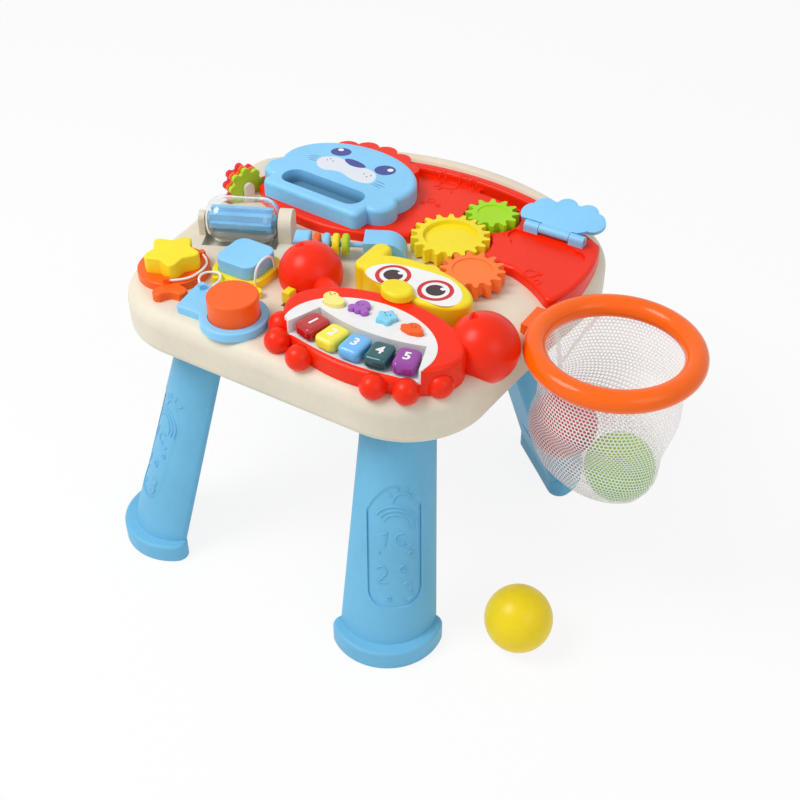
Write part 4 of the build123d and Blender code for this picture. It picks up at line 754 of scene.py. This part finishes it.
def dense(points, gap):
    """Points along a line, no further apart than the gap."""
    run = []
    for a, b in zip(points, points[1:]):
        count = max(1, ceil(hypot(b[0] - a[0], b[1] - a[1]) / gap))
        run += [(a[0] + (b[0] - a[0]) * k / count, a[1] + (b[1] - a[1]) * k / count) for k in range(count)]
    return run + [points[-1]]


def spoke_end(centre, radius, bearing):
    """Point at a bearing, in degrees, and a distance from a centre."""
    return (centre[0] + radius * cos(radians(bearing)), centre[1] + radius * sin(radians(bearing)))


def arc(centre, radius, first, last, count=18):
    """Points along an arc between two bearings in degrees."""
    return [spoke_end(centre, radius, first + (last - first) * i / count) for i in range(count + 1)]


def ridges(name, solid, finish, origin, across, up, strokes, width):
    """Rounded ridges on a solid, drawn in a flat frame and dropped on it along the frame's normal."""
    surface = surface_of(solid)
    inward = -Vector(across).cross(Vector(up)).normalized()
    curve = bpy.data.curves.new(name, "CURVE")
    curve.dimensions = "3D"
    curve.bevel_depth = width / 2 * MM
    curve.bevel_resolution = 2
    curve.use_fill_caps = True
    for stroke in strokes:
        hits = []
        for x, y in dense(stroke, STROKE_STEP):
            start = Vector(origin) + Vector(across) * x * MM + Vector(up) * y * MM - inward * RAY_BACK
            hit = surface.ray_cast(start, inward, RAY_REACH)
            if hit[0] is not None:
                hits.append(hit[0] - inward * (width * RIDGE_RISE))
        if len(hits) < 2:
            continue
        spline = curve.splines.new("POLY")
        spline.points.add(len(hits) - 1)
        for point, place in zip(spline.points, hits):
            point.co = (*place, 1)
    curve.materials.append(finish)
    piece = bpy.data.objects.new(name, curve)
    scene.collection.objects.link(piece)
    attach(piece, "table")
    return len(curve.splines)


SUN_PLACE = (7, 41)
SUN = [arc(SUN_PLACE, 8, 10, 175)] + [
    [spoke_end(SUN_PLACE, 11, bearing), spoke_end(SUN_PLACE, 15, bearing)] for bearing in (35, 70, 108, 145)]
RAINBOW = [arc((1, 20), r, -12, 150) for r in (18, 14.5, 11)]
CLOUD = [arc((6, 10), 5, 60, 290) + arc((11, 6), 4, 160, 330)]
NUMBERS = [[(-10, 13), (-6, 15), (-8.5, 3)],
           arc((-11, -19), 4.2, 165, -35, 14) + [(-14.5, -29), (-6.5, -29)],
           arc((11, -34), 4, 150, -75, 14) + arc((11, -42), 4.2, 75, -140, 14)]
SPOTS = [arc((7, -17), 2.6, 0, 330), arc((-13, -3), 0.8, 0, 330, 8), arc((14, -5), 2, 0, 330, 10),
         arc((-5, -43), 1.6, 0, 330, 10)]
LEG_ART = SUN + RAINBOW + CLOUD + NUMBERS + SPOTS
LEG_STROKE = 1.8
LEG_ART_HEIGHT = 0.102
TABLE_SHIFT = Vector((-57.6671, 22.8699))
LEGS = {"front": ((124.89, -187.99), (95.387, -120.48), -56.8),
        "back": ((140.28, 79.45), (104.08, 16.97), 49.1)}
for row, (foot, socket, turn) in LEGS.items():
    for side_name, side in (("left", -1), ("right", 1)):
        name = f"leg_{row}_{side_name}"
        facing = radians((turn if side > 0 else 180 - turn) - 90)
        across = Vector((cos(facing), sin(facing), 0))
        x = (side * (foot[0] + socket[0]) / 2 + TABLE_SHIFT.x) * MM
        y = ((foot[1] + socket[1]) / 2 + TABLE_SHIFT.y) * MM
        count = ridges(name + "_pictures", name, finishes["leg_blue"], (x, y, LEG_ART_HEIGHT),
                       -across, (0, 0, 1), LEG_ART, LEG_STROKE)
        print(name, "ridges", count)

# %% Sea pictures on the deck
DECK_STROKE = 1.6
DECK_ART_FROM = (0, 0, 0.3)
CRAB_ART = [ellipse((-57, 145), (9, 6), 10) + [(-48.1, 146.6)],
            arc((-69, 152), 4, 200, -60), arc((-47, 155), 4, 240, -20),
            [(-64, 140), (-69, 136)], [(-60, 138.6), (-63, 133)], [(-51, 139), (-48, 134)]]
BUBBLES = [arc(place, radius, 0, 360) for place, radius in (
    ((-36, 153), 4.2), ((-36, 153), 1.6), ((-57, 111), 3.4), ((-62, 104), 2), ((-47.7, 107), 2.2),
    ((81, 48.7), 5.4), ((92, 40), 3), ((88, 52), 1.8))]
count = ridges("deck_pictures", "deck_panel", finishes["red"], DECK_ART_FROM, (1, 0, 0), (0, 1, 0),
               CRAB_ART + BUBBLES, DECK_STROKE)
print("deck ridges", count)
